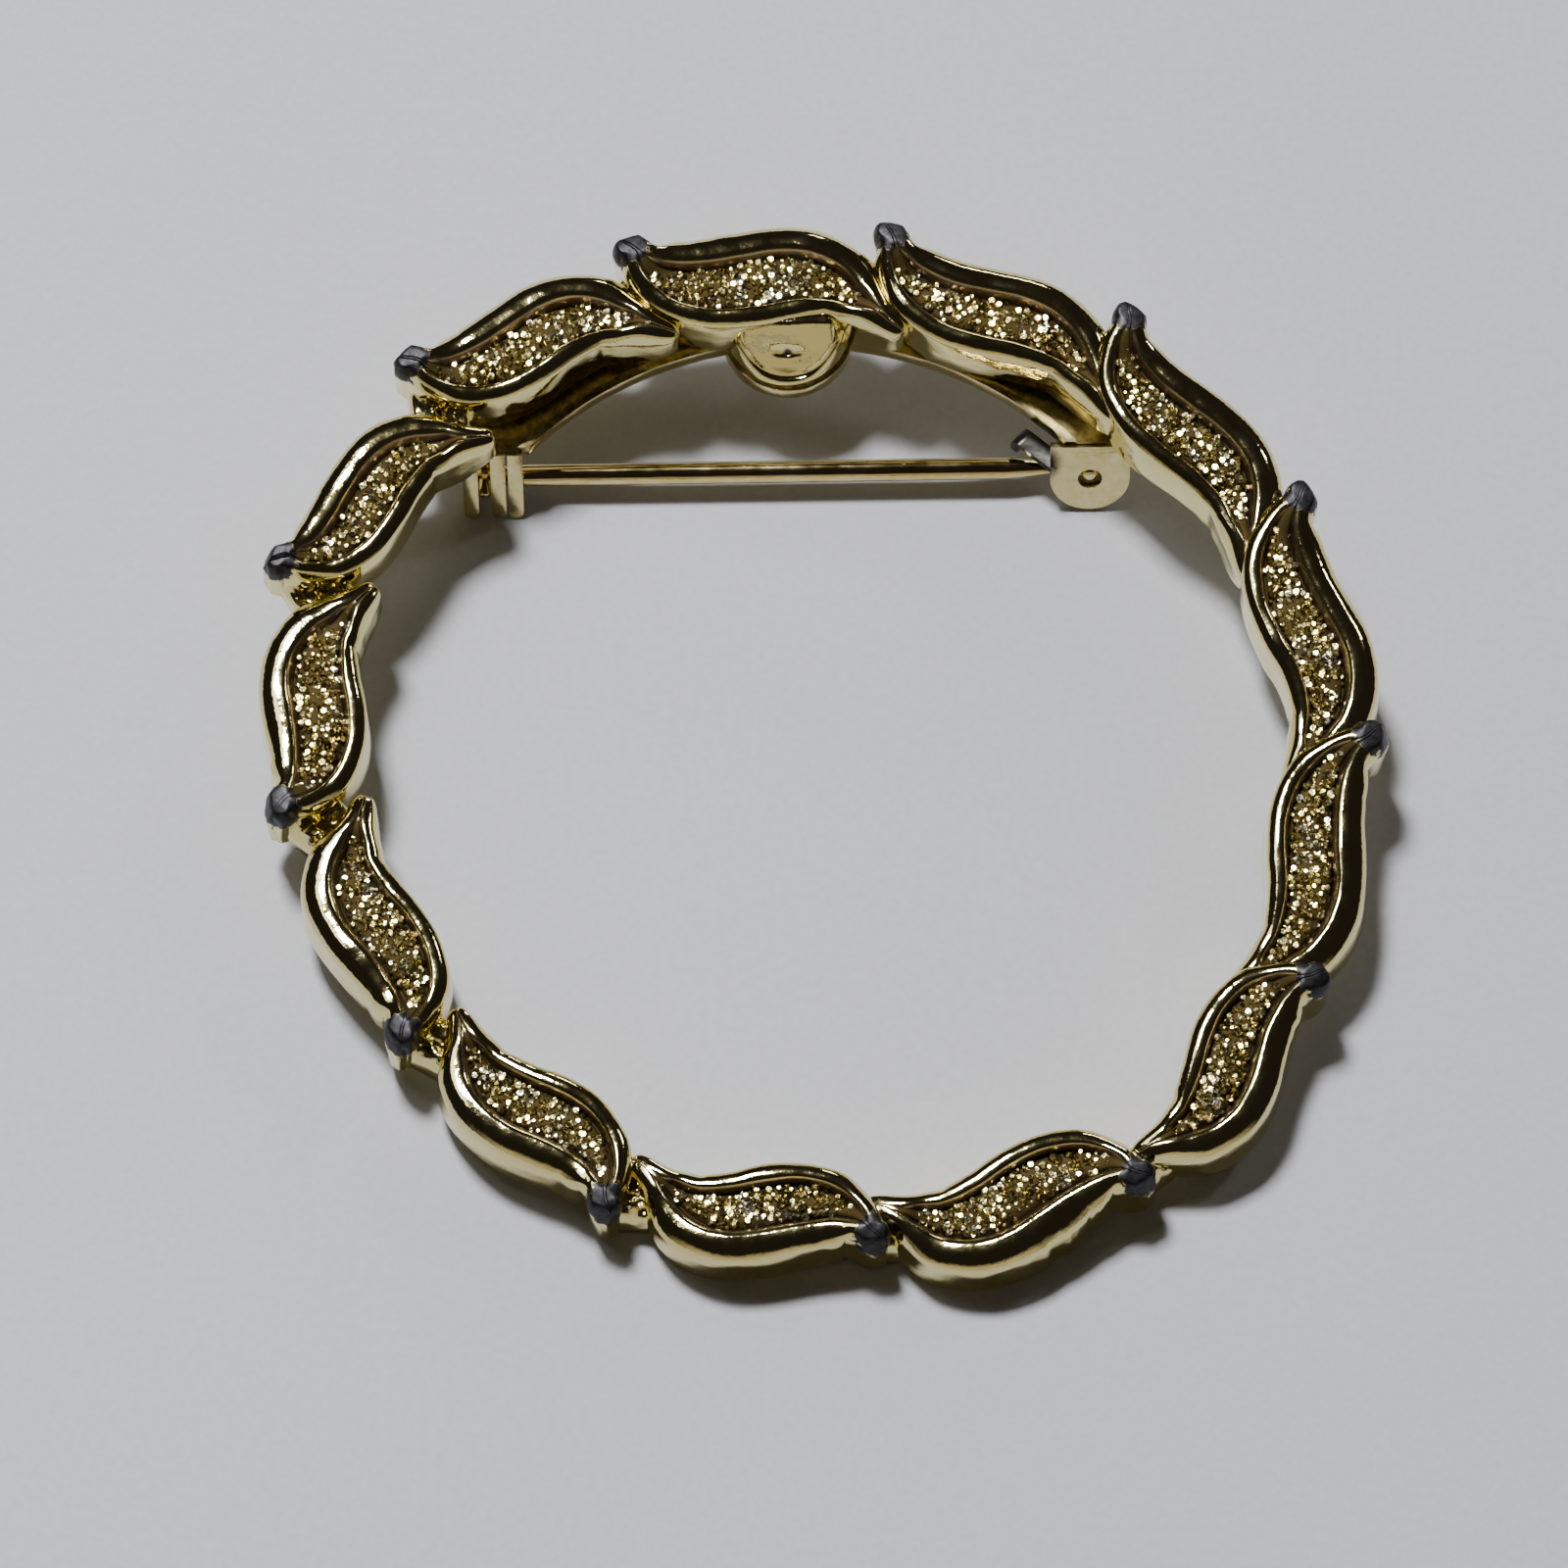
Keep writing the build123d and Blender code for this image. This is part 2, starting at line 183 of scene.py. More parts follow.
# Grains of the sunk fields
GRAIN_SIDES = 7
GRAIN_RADIUS = 0.18
GRAIN_TOP = 0.55
GRAIN_HEIGHT = 0.9
GRAIN_PITCH = 0.25
GRAIN_ROW = 0.866 * GRAIN_PITCH
GRAIN_LEAST = 0.62
GRAIN_SPREAD = 0.75
GRAIN_MOSTLY_SMALL = 1.5
GRAIN_ROWS_TURN = (0.2, 0.8)
GRAIN_FANS_OUT = 0.1
GRAIN_OFF_RIM = 0.02
GRAINS_WHERE_SUNK = 0.3
GRAIN_STRAY = 0.1
GRAIN_SUNK = 0.09
GRAIN_TILT = 0.2
GRAIN_UNEVENNESS = 0.04
FIELD_MARGIN = 0.3
WEB_GRAIN_SIZES = (0.7, 1.4)
WEB_GRAIN_SUNK = 0.08
WEB_GRAINS_FROM = 0.9
FIELD_SEED = 7
LUMP_SEED = 3

# Leaves, clockwise from the top one: the directions of tip and tail from the
# ring's centre in degrees, their distances as shares of the ring's radius, and
# the width and the outward bow as shares of the leaf's width
LEAVES = [
    # tip at, tip out, tail at, tail out, width, bow
    (110.1, 1.014, 79.1, 0.793, 1.02, 0.01),
    (82.4, 0.988, 48.8, 0.807, 0.94, -0.03),
    (55.0, 0.992, 21.5, 0.822, 0.96, -0.03),
    (27.5, 0.988, -7.4, 0.832, 0.96, 0.07),
    (-0.6, 0.994, -35.1, 0.866, 0.95, 0.00),
    (-28.1, 0.998, -55.4, 0.957, 0.93, -0.07),
    (-56.2, 1.012, -85.2, 0.871, 0.98, 0.05),
    (-84.4, 0.955, -112.9, 0.855, 0.92, 0.05),
    (-113.3, 0.971, -141.7, 0.822, 0.95, -0.08),
    (-142.5, 0.945, -172.3, 0.814, 0.97, 0.03),
    (-171.7, 0.985, 160.0, 0.848, 1.00, 0.02),
    (161.2, 1.042, 135.6, 0.824, 0.91, 0.05),
    (136.0, 1.048, 108.4, 0.820, 0.96, 0.03),
]

# A leaf's sections from tip to tail: places as shares of the line from tip to
# tail, half width and feet as shares of the leaf's width, crest as a share of
# the casting's height, and how much of the floor's depth is sunk
SECTIONS = [
    # along, across, half, foot in, foot out, crest, sunk
    (-0.0595, 0.010, 0.035, 0.03, 0.03, 0.76, 0.0),
    (-0.055, 0.010, 0.090, 0.06, 0.06, 0.87, 0.0),
    (-0.046, 0.008, 0.140, 0.10, 0.11, 0.95, 0.0),
    (-0.030, 0.005, 0.178, 0.14, 0.15, 1.00, 0.0),
    (-0.010, 0.000, 0.198, 0.17, 0.18, 1.015, 0.0),
    (0.012, -0.007, 0.206, 0.20, 0.21, 1.00, 0.0),
    (0.040, -0.022, 0.235, 0.24, 0.25, 0.98, 0.0),
    (0.080, -0.041, 0.29, 0.31, 0.33, 0.965, 0.3),
    (0.140, -0.051, 0.36, 0.39, 0.42, 0.96, 0.8),
    (0.220, -0.052, 0.43, 0.46, 0.495, 0.96, 1.0),
    (0.320, -0.027, 0.48, 0.51, 0.555, 0.955, 1.0),
    (0.420, 0.024, 0.50, 0.53, 0.58, 0.945, 1.0),
    (0.520, 0.084, 0.495, 0.52, 0.575, 0.93, 1.0),
    (0.620, 0.118, 0.465, 0.49, 0.55, 0.91, 1.0),
    (0.720, 0.122, 0.395, 0.42, 0.48, 0.88, 1.0),
    (0.800, 0.098, 0.315, 0.34, 0.39, 0.85, 0.8),
    (0.860, 0.075, 0.24, 0.265, 0.305, 0.82, 0.2),
    (0.930, 0.048, 0.165, 0.18, 0.21, 0.785, 0.0),
    (0.970, 0.036, 0.125, 0.13, 0.155, 0.755, 0.0),
    (0.990, 0.031, 0.085, 0.09, 0.11, 0.72, 0.0),
    (1.000, 0.028, 0.035, 0.04, 0.06, 0.65, 0.0),
]
STEPS_PER_SPAN = 4

# The profile of a section, from the foot of the wall to the field
WALL_FOOT = [
    # share of the way out to the wall's fullest line, height
    (0.0, 0.1), (0.7, 0.3), (1.0, WALL_SHOULDER),
]
WALL_RISE = [
    # share of the way in to the wall's top, share of the way up
    (0.30, 0.33), (0.65, 0.68),
]
SHOULDER = [
    # share of the way out from the crest, share of the way down
    (1.0, 1.0), (0.97, 0.802), (0.93, 0.65), (0.88, 0.537), (0.81, 0.427), (0.71, 0.294),
    (0.59, 0.166), (0.47, 0.081), (0.35, 0.035), (0.2, 0.011), (0.0, 0.0),
]
INNER_SLOPE = [
    # share of the way in from the crest, share of the way down, how much painted reflection and shade
    (0.2, 0.015, 0.0), (0.38, 0.07, 0.1), (0.54, 0.19, 0.3), (0.68, 0.37, 0.5), (0.82, 0.62, 0.5),
    (1.0, 1.0, 0.5),
]
INNER_SLOPE_ENDS = 0.95
GROOVE = [
    # share of the rim's width, share of the floor's depth
    (0.965, 0.98), (0.995, 0.98), (1.04, 0.84),
]
FIELD_STEPS = (-0.84, -0.55, -0.2, 0.2, 0.55, 0.84)

# Two webs in each crotch
WEB_LUMPS = [
    # lumps to the millimetre, share of the height
    (1.3, 0.2), (3.1, 0.16),
]
WEBS = [
    # from and to as shares along and across a leaf and the next one, width,
    # share of the full height, grains
    ((0.76, 0.12), (0.04, -0.01), 1.4, 0.85, 8),
    ((0.87, 0.08), (0.15, 0.00), 1.5, 0.95, 4),
]

# Stage, in metres: the lamps face the brooch, and the camera stands where
# the photograph was taken from
TABLE_REACH = 1.5
LAMPS = [
    # name, place, size, power, colour
    ("key_lamp", (-0.13, 0.22, 0.59), (0.11, 0.11), 6.4, (0.99, 0.99, 1.0)),
    ("window_glow", (-0.24, 0.20, 0.57), (0.26, 0.20), 0.5, (1.0, 1.0, 1.0)),
    ("right_lamp", (0.44, 0.36, 0.40), (0.08, 0.08), 0.45, (1.0, 0.97, 0.93)),
    ("low_lamp", (0.16, 0.62, 0.26), (0.12, 0.05), 0.35, (1.0, 0.96, 0.92)),
]
LAMP_AIM = Vector((0, 0, 0.003))
CAMERA_LENS = 203.98
CAMERA_ELEVATION = math.radians(63.6005)
CAMERA_DISTANCE = 0.3584
CAMERA_TARGET = Vector((-0.001619, -0.002473, 0.004763))


def lie(points, turn=0.0):
    """Millimetres as drawn to metres on the table; the finding has its own small turn."""
    x, y, z = np.asarray(points, float).reshape(-1, 3).T
    turned_x = x * math.cos(turn) - y * math.sin(turn)
    turned_y = x * math.sin(turn) + y * math.cos(turn)
    lying_y = turned_y * math.cos(TILT) - z * math.sin(TILT)
    lying_z = turned_y * math.sin(TILT) + z * math.cos(TILT)
    return (np.stack([turned_x, lying_y, lying_z], 1) + MOVE) / 1000


class Shell:
    """Points and faces of a piece while it is built up, in millimetres."""

    def __init__(self):
        self.points = []
        self.faces = []
        self.values = {}

    def add(self, points, faces, **values):
        start = len(self.points)
        self.points += [tuple(p) for p in points]
        self.faces += [tuple(start + k for k in face) for face in faces]
        for name in set(values) | set(self.values):
            column = self.values.setdefault(name, [0.0] * start)
            given = values.get(name)
            column += list(given) if given is not None else [0.0] * len(points)

    def piece(self, name, material, turn=0.0, roll=0.0, roll_length=1.0):
        """The finished mesh object, with a roll in its surface, as polishing leaves, where one is given."""
        mesh = bpy.data.meshes.new(name)
        mesh.from_pydata(self.points, [], self.faces)
        points = np.array(self.points)
        if roll:
            normals = np.zeros(len(points) * 3, np.float32)
            mesh.vertex_normals.foreach_get("vector", normals)
            rolls = [noise.noise(Vector(p) / roll_length) for p in self.points]
            points = points + normals.reshape(-1, 3) * (np.array(rolls) * roll)[:, None]
        mesh.vertices.foreach_set("co", lie(points, turn).ravel())
        for value_name, column in self.values.items():
            attribute = mesh.attributes.new(value_name, "FLOAT", "POINT")
            attribute.data.foreach_set("value", column)
        mesh.shade_smooth()
        mesh.update()
        mesh.materials.append(material)
        made = bpy.data.objects.new(name, mesh)
        bpy.context.scene.collection.objects.link(made)
        return made


def tube_faces(ring_count, ring_size):
    """Faces of closed rings laid one after the other."""
    faces = []
    for ring in range(ring_count - 1):
        for k in range(ring_size):
            after = (k + 1) % ring_size
            near = ring * ring_size
            far = near + ring_size
            faces.append((near + k, far + k, far + after, near + after))
    return faces


def capped(rings):
    """Points and faces of rings closed at both ends with a fan."""
    size = len(rings[0])
    points = [p for ring in rings for p in ring]
    faces = tube_faces(len(rings), size)
    first = len(points)
    points += [np.mean(rings[0], axis=0), np.mean(rings[-1], axis=0)]
    last_ring = (len(rings) - 1) * size
    for k in range(size):
        after = (k + 1) % size
        faces.append((first, k, after))
        faces.append((first + 1, last_ring + after, last_ring + k))
    return points, faces


def lathe(profile, origin, axis, segments):
    """A closed turned shape from (place along the axis, radius) pairs, first and last radius 0."""
    axis = Vector(axis).normalized()
    side = axis.orthogonal().normalized()
    up = axis.cross(side)
    origin = Vector(origin)
    turns = [2 * math.pi * k / segments for k in range(segments)]
    outs = [side * math.cos(turn) + up * math.sin(turn) for turn in turns]
    rings = []
    for place, radius in profile[1:-1]:
        rings.append([origin + axis * place + out * radius for out in outs])
    points = [p for ring in rings for p in ring]
    points.append(origin + axis * profile[0][0])
    points.append(origin + axis * profile[-1][0])
    faces = [face[::-1] for face in tube_faces(len(rings), segments)]
    near_pole = len(points) - 2
    last_ring = (len(rings) - 1) * segments
    for k in range(segments):
        after = (k + 1) % segments
        faces.append((near_pole, after, k))
        faces.append((near_pole + 1, last_ring + k, last_ring + after))
    return points, faces


def washer(inner, outer, thickness, origin, axis, segments, round_off):
    """A flat ring with rounded edges, such as the eye of the stem."""
    axis = Vector(axis).normalized()
    side = axis.orthogonal().normalized()
    up = axis.cross(side)
    half = thickness / 2
    corners = []
    for centre_radius, centre_place, start in (
            (outer - round_off, half - round_off, 0), (inner + round_off, half - round_off, 90),
            (inner + round_off, -half + round_off, 180), (outer - round_off, -half + round_off, 270)):
        for step in range(4):
            turn = math.radians(start + 30 * step)
            place = centre_place + round_off * math.sin(turn)
            corners.append((place, centre_radius + round_off * math.cos(turn)))
    points = []
    for k in range(segments):
        turn = 2 * math.pi * k / segments
        out = side * math.cos(turn) + up * math.sin(turn)
        points += [Vector(origin) + axis * place + out * radius for place, radius in corners]
    size = len(corners)
    faces = []
    for k in range(segments):
        near = k * size
        far = ((k + 1) % segments) * size
        for j in range(size):
            after = (j + 1) % size
            faces.append((near + j, far + j, far + after, near + after))
    return points, faces


def polar(radius, degrees):
    """A point at a distance and direction from the ring's centre."""
    return np.array([radius * math.cos(math.radians(degrees)), radius * math.sin(math.radians(degrees))])


def in_leaf(leaf, share_along, share_across):
    """A point of a leaf from its shares of the line from tip to tail."""
    tip_at, tip_out, tail_at, tail_out, width, bow = leaf
    tip = polar(RING_RADIUS * tip_out, tip_at)
    along = polar(RING_RADIUS * tail_out, tail_at) - tip
    across = np.array([-along[1], along[0]])
    bowed = bow * LEAF_WIDTH * max(math.sin(math.pi * share_along), 0)
    return tip + along * share_along + across * share_across + across / np.linalg.norm(across) * bowed


def smoothed(rows, steps):
    """Rows with more rows between them, on a smooth curve through all of them."""
    rows = np.array(rows, float)
    padded = np.vstack([2 * rows[0] - rows[1], rows, 2 * rows[-1] - rows[-2]])
    made = []
    for k in range(len(rows) - 1):
        p0, p1, p2, p3 = padded[k:k + 4]
        for step in range(steps):
            t = step / steps
            made.append(0.5 * (2 * p1 + (p2 - p0) * t + (2 * p0 - 5 * p1 + 4 * p2 - p3) * t ** 2
                + (3 * p1 - p0 - 3 * p2 + p3) * t ** 3))
    made.append(rows[-1])
    return np.array(made)


def leaf_stations(leaf):
    """Centre, outward direction and the section's sizes in mm, from tip to tail."""
    rows = smoothed(SECTIONS, STEPS_PER_SPAN)
    centres = np.array([in_leaf(leaf, row[0], row[1]) for row in rows])
    headings = np.gradient(centres, axis=0)
    headings /= np.linalg.norm(headings, axis=1)[:, None]
    outwards = np.stack([-headings[:, 1], headings[:, 0]], 1)
    width = LEAF_WIDTH * leaf[4]
    sizes = rows[:, 2:7] * [width, width, width, CAST_HEIGHT, 1]
    sizes[:, 4] = np.clip(sizes[:, 4], 0, 1)
    return centres, outwards, sizes, rows[:, 0]


def rims(half):
    """Widths of the inner and the outer rim of a section."""
    widest = RIM_SHARE_OF_HALF * half
    return min(INNER_RIM, widest), min(OUTER_RIM, widest)


def field(half):
    """Middle and half width of the sunk field."""
    inner_rim, outer_rim = rims(half)
    return (inner_rim - outer_rim) / 2, max(half - (inner_rim + outer_rim) / 2, 0.01)


def floor_drop(across, half, depth):
    """How far below the crest the field's crowned floor lies."""
    middle, reach = field(half)
    return depth * (FIELD_SHARE - FIELD_CROWN * (1 - min(abs(across - middle) / reach, 1) ** 2))


def rim_side(half, foot, crest, sunk, rim):
    """Half a section from its foot to its field: (across, height, stain), across counted outwards."""
    full = min(max((half - NARROW_HALF) / WIDENS_OVER, 0), 1)
    depth = FLOOR_DEPTH * sunk
    dome = (1 - sunk) * SWELL * half
    crest_inset = CREST_AT * rim
    bulge = max(WALL_BULGE * (foot + WALL_FULLNESS * full - half), 0)
    run = crest_inset + bulge
    fall = SHOULDER_STEEPNESS * run + TIP_ROUND * (1 - full)
    side = [(crest_inset - run * out, fall * down, 0.0) for out, down in SHOULDER]
    # Painted reflection and shade: the inner slope is painted mauve-brown, more so towards the groove
    for share, down, stain in INNER_SLOPE:
        inset = crest_inset + (INNER_SLOPE_ENDS * rim - crest_inset) * share
        side.append((inset, FIELD_SHARE * depth * down, stain * min(sunk * 2, 1)))
    side += [(rim * share, depth * down, 1.0) for share, down in GROOVE]
    made = wall(foot, half + bulge, crest - fall, full)
    for inset, drop, stain in side:
        raised = dome * (1 - (1 - max(inset, 0) / half) ** 2)
        made.append((half - inset, crest - drop + raised, stain))
    return made


def section(half, foot_in, foot_out, crest, sunk):
    """Rounded rims over drafted walls, the outer rim wider, and the floor: (across, height, stain)."""
    inner_rim, outer_rim = rims(half)
    inner = []
    for across, height, stain in rim_side(half, foot_in, crest, sunk, inner_rim):
        inner.append((-across, height, stain))
    outer = rim_side(half, foot_out, crest, sunk, outer_rim)
    middle, reach = field(half)
    dome = (1 - sunk) * SWELL * half
    floor = []
    for share in FIELD_STEPS:
        across = middle + reach * share
        raised = dome * (1 - (across / half) ** 2)
        height = crest - floor_drop(across, half, FLOOR_DEPTH * sunk) + raised
        floor.append((across, height, 1.0 if sunk > 0.1 else 0.0))
    return inner + floor + outer[::-1]


def wall(foot, top_across, top, full):
    """A cast wall from its foot up: drafted, fullest low down, tucked in at the back."""
    shoulder = foot + WALL_FULLNESS * full
    lean = top_across - shoulder
    rise = top - WALL_SHOULDER
    made = [(foot - BACK_TUCK * full, 0, 0.0)]
    made += [(foot + (shoulder - foot) * out, height, 0.0) for out, height in WALL_FOOT]
    made += [(shoulder + lean * share, WALL_SHOULDER + rise * up, 0.0) for share, up in WALL_RISE]
    return made


def add_leaf(shell, leaf, index):
    """One cast leaf with its blunt worn tip."""
    centres, outwards, sizes, shares = leaf_stations(leaf)
    rings = []
    brown_and_shade_list = []
    for centre, outward, size, share in zip(centres, outwards, sizes, shares):
        half, foot_in, foot_out, crest, sunk = size
        if index == FLASH_LEAF and share < FLASH_ENDS_AT:
            ragged = 0.5 + 0.5 * noise.noise(Vector((share * FLASH_RAGS, 3.1, 0)))
            foot_out += FLASH_WIDTH * math.sin(math.pi * max(share, 0) / FLASH_ENDS_AT) * ragged
        lift = TAIL_LIFT * min(max((share - TAIL_LIFTS_FROM) / TAIL_LIFTS_OVER, 0), 1) ** 2
        squash = 1 - lift / crest
        ring = []
        for across, height, stain in section(half, foot_in, foot_out, crest, sunk):
            ring.append((*(centre + outward * across), lift + height * squash))
            brown_and_shade_list.append(stain)
        rings.append(ring)
    points, faces = capped(rings)
    points = np.array(points, float)
    tip = in_leaf(leaf, TIP_AT, 0.0)
    outward = outwards[2]
    heading = outward[[1, 0]] * [1, -1]
    lean = outward * TOP_FACET_LEANS_OUT - heading * TOP_FACET_LEANS_BACK
    facet(points, (*tip, CAST_HEIGHT + TOP_FACET), (*lean, 1.0), tip)
    radial = tip / np.linalg.norm(tip)
    reach = max(points[:, :2] @ radial) - TIP_CUT
    facet(points, (*(radial * reach), CAST_HEIGHT - TIP_CUT_DOWN), (*radial, TIP_CUT_LEANS_UP), tip)
    away = np.linalg.norm(points[:, :2] - tip, axis=1)
    low = np.clip((CAST_HEIGHT - points[:, 2] - WEAR_DOWN) / WEAR_DOWN_FADE, 0, 1)
    wear = np.clip((WEAR_REACH - away) / WEAR_FADE, 0, 1) * (1 - low)
    shell.add(points, faces, stain=brown_and_shade_list + [0.0, 0.0], wear=wear)


def facet(points, on, normal, tip):
    """Flattens what stands out past a plane near a tip, as rubbing does."""
    normal = np.array(normal) / np.linalg.norm(normal)
    over = (points - np.array(on)) @ normal
    near = np.linalg.norm(points[:, :2] - tip, axis=1) < FACET_REACH
    cut = near & (over > 0)
    points[cut] -= normal * over[cut][:, None] * FACET_DEPTH


def web_line(leaf, next_leaf, web):
    """Where a web starts, which way it goes and which way is out of it."""
    start = in_leaf(leaf, *web[0])
    along = in_leaf(next_leaf, *web[1]) - start
    outward = np.array([-along[1], along[0]]) / np.linalg.norm(along)
    return start, along, outward


def web_point(line, web, share, turn):
    """A point of a web's rounded, lumpy back, by its share along and its turn from the outer foot."""
    start, along, outward = line
    across = web[2] / 2 * math.copysign(abs(math.cos(turn)) ** WEB_SIDES_POWER, math.cos(turn))
    x, y = start + along * share + outward * across
    lump = WEB_MEAN + sum(size * noise.noise(Vector((x, y, 0)) * per_mm) for per_mm, size in WEB_LUMPS)
    return x, y, WEB_HEIGHT * web[3] * lump * max(math.sin(turn), 0) ** WEB_BACK_POWER


def add_web(shell, leaf, next_leaf, web):
    """A low rough web in the crotch between a leaf and the tip of the next."""
    line = web_line(leaf, next_leaf, web)
    rings = []
    for step in range(WEB_STEPS + 1):
        turns = [math.pi * (1 - k / WEB_STEPS) for k in range(WEB_STEPS + 1)]
        rings.append([web_point(line, web, step / WEB_STEPS, turn) for turn in turns])
    points, faces = capped(rings)
    shell.add(points, faces, stain=[WEB_STAIN] * len(points))


def lobe_height(x, y, radius, centre, wall_stations):
    """How high the boss is at a point: lip, slope and round sides, and sunk past the wall's face."""
    from_front = y - (centre[1] - LOBE_RADIUS)
    past_lip = LOBE_CREASE * math.log1p(math.exp((from_front - LOBE_LIP_WIDTH) / LOBE_CREASE))
    height = min(LOBE_LIP + math.tan(LOBE_SLOPE) * past_lip, LOBE_TOP)
    centres, outwards, sizes, _ = wall_stations
    at = np.argmin(np.hypot(centres[:, 0] - x, centres[:, 1] - y))
    past_wall = sizes[at, 0] + LOBE_MEETS_WALL - (centres[at] - (x, y)) @ outwards[at]
    if past_wall > 0:
        buried = max(LOBE_TOP - LOBE_UNDER_WALL - LOBE_SINKS * past_wall, LOBE_BURIED_HEIGHT)
        height = min(height, buried)
    past_flat = max(abs(x - centre[0]) - LOBE_FLAT_HALF, 0) / (LOBE_RADIUS - LOBE_FLAT_HALF)
    height = LOBE_LIP + (height - LOBE_LIP) * (1 - past_flat ** 2)
    to_edge = LOBE_RADIUS - radius
    height -= LOBE_EDGE_DROP * max(1 - to_edge / LOBE_EDGE, 0) ** 2
    return height - LOBE_GROOVE * math.exp(-((to_edge - LOBE_GROOVE_AT) / LOBE_GROOVE) ** 2)


def lobe_dents(points, centre):
    """How deep the dimple and its pit are at each point, as shares of their depths."""
    spot = np.array([centre[0], centre[1] - LOBE_RADIUS + DIMPLE_FROM_FRONT,
        LOBE_LIP + math.tan(LOBE_SLOPE) * (DIMPLE_FROM_FRONT - LOBE_LIP_WIDTH)])
    from_spot = points - spot
    sideways = from_spot[:, 0]
    upwards = from_spot @ np.array([0, math.cos(LOBE_SLOPE), math.sin(LOBE_SLOPE)])
    on_slope = points[:, 2] > DENTS_ABOVE
    oval = (sideways / (DIMPLE_WIDTH / 2)) ** 2 + (upwards / (DIMPLE_HEIGHT / 2)) ** 2
    disc = (sideways ** 2 + upwards ** 2) / PIT_RADIUS ** 2
    return np.clip(1 - oval, 0, 1) * on_slope, np.clip(1 - disc, 0, 1) * on_slope


def add_lobe(shell):
    """The half-round boss that slopes from the top leaf's inner wall, and its riveted post."""
    x, y = LOBE_CENTRE
    c, s = math.cos(BAR_TURN), math.sin(BAR_TURN)
    centre = np.array([x * c - y * s, x * s + y * c])
    wall_stations = leaf_stations(LEAVES[0])
    # Rings from the foot up and then in over the top: radius and, on the side, height
    side = [(LOBE_RADIUS - LOBE_FOOT_EDGE, 0.0)]
    side += [(LOBE_RADIUS, height) for height in (LOBE_FOOT_EDGE, LOBE_SIDE_FROM)]
    top = [LOBE_RADIUS - inset for inset in (0.0, 0.02, 0.06, 0.12, 0.18, 0.24, 0.3, 0.36)]
    top += list(np.linspace(LOBE_RADIUS - 0.43, 0.05, 32))
    rings = []
    for radius, height in side + [(radius, None) for radius in top]:
        ring = []
        for k in range(LOBE_SEGMENTS):
            turn = 2 * math.pi * k / LOBE_SEGMENTS
            px = centre[0] + radius * math.cos(turn)
            py = centre[1] + radius * math.sin(turn)
            pz = lobe_height(px, py, radius, centre, wall_stations) if height is None else height
            ring.append((px, py, pz))
        rings.append(ring[::-1])
    points, faces = capped(rings)
    points = np.array(points, float)
    bowl, pit = lobe_dents(points, centre)
    points[:, 2] -= DIMPLE_DEPTH * bowl + PIT_DEPTH * pit
    # Painted shade in the dimple and its pit
    shell.add(points, faces, stain=np.clip(bowl * DIMPLE_SHADE + pit * PIT_SHADE, 0, 1))
    head = POST_HEAD_HEIGHT
    post = [(0, 0), (0, POST_HEAD_RADIUS * 0.8), (POST_HEAD_EDGE, POST_HEAD_RADIUS)]
    post += [(head, POST_HEAD_RADIUS), (head, POST_RADIUS)]
    post += [(head + POST_LENGTH, POST_RADIUS), (head + POST_LENGTH, 0)]
    points, faces = lathe(post, (*centre, FLOOR_Z - SEAT_GAP - head), (0, 0, 1), POST_SEGMENTS)
    shell.add(points, faces)


def field_grains(leaf, rng):
    """Grains in loosened rows, turned their own way, on a leaf's sunk floor: (place, up, size)."""
    centres, outwards, sections, _ = leaf_stations(leaf)
    arc = np.concatenate([[0], np.cumsum(np.linalg.norm(np.diff(centres, axis=0), axis=1))])
    turn = rng.uniform(*GRAIN_ROWS_TURN)
    count = int(arc[-1] / GRAIN_PITCH) + 6
    grains = []
    for i in range(-count, count):
        for j in range(-count, count):
            u = (i + 0.5 * (j % 2)) * GRAIN_PITCH
            v = j * GRAIN_ROW
            s = arc[-1] / 2 + u * math.cos(turn) - v * math.sin(turn)
            t = u * math.sin(turn) + v * math.cos(turn)
            s += rng.uniform(-GRAIN_STRAY, GRAIN_STRAY)
            t += rng.uniform(-GRAIN_STRAY, GRAIN_STRAY)
            if not FIELD_MARGIN < s < arc[-1] - FIELD_MARGIN:
                continue
            half, crest, sunk = (np.interp(s, arc, sections[:, k]) for k in (0, 3, 4))
            middle, reach = field(half)
            if sunk < GRAINS_WHERE_SUNK or abs(t - middle) > reach - GRAIN_OFF_RIM:
                continue
            centre = np.array([np.interp(s, arc, centres[:, k]) for k in (0, 1)])
            outward = np.array([np.interp(s, arc, outwards[:, k]) for k in (0, 1)])
            floor = crest - floor_drop(t, half, FLOOR_DEPTH * sunk)
            tilt = rng.normal(0, GRAIN_TILT, 2)
            place = (*(centre + outward * t), floor + rng.uniform(-GRAIN_SUNK, 0.0))
            up = (*(outward * t * GRAIN_FANS_OUT + tilt), 1.0)
            size = GRAIN_LEAST + GRAIN_SPREAD * rng.uniform(0, 1) ** GRAIN_MOSTLY_SMALL
            grains.append((place, up, size))
    return grains


def web_grains(leaf, next_leaf, web, rng):
    """A few larger grains on a web's back: (place, up, size)."""
    line = web_line(leaf, next_leaf, web)
    grains = []
    for _ in range(web[4]):
        turn = rng.uniform(WEB_GRAINS_FROM, math.pi - WEB_GRAINS_FROM)
        x, y, z = web_point(line, web, rng.uniform(0, 1), turn)
        up = (*(line[2] * math.cos(turn)), max(math.sin(turn), 0.2))
        grains.append(((x, y, z - WEB_GRAIN_SUNK), up, rng.uniform(*WEB_GRAIN_SIZES)))
    return grains


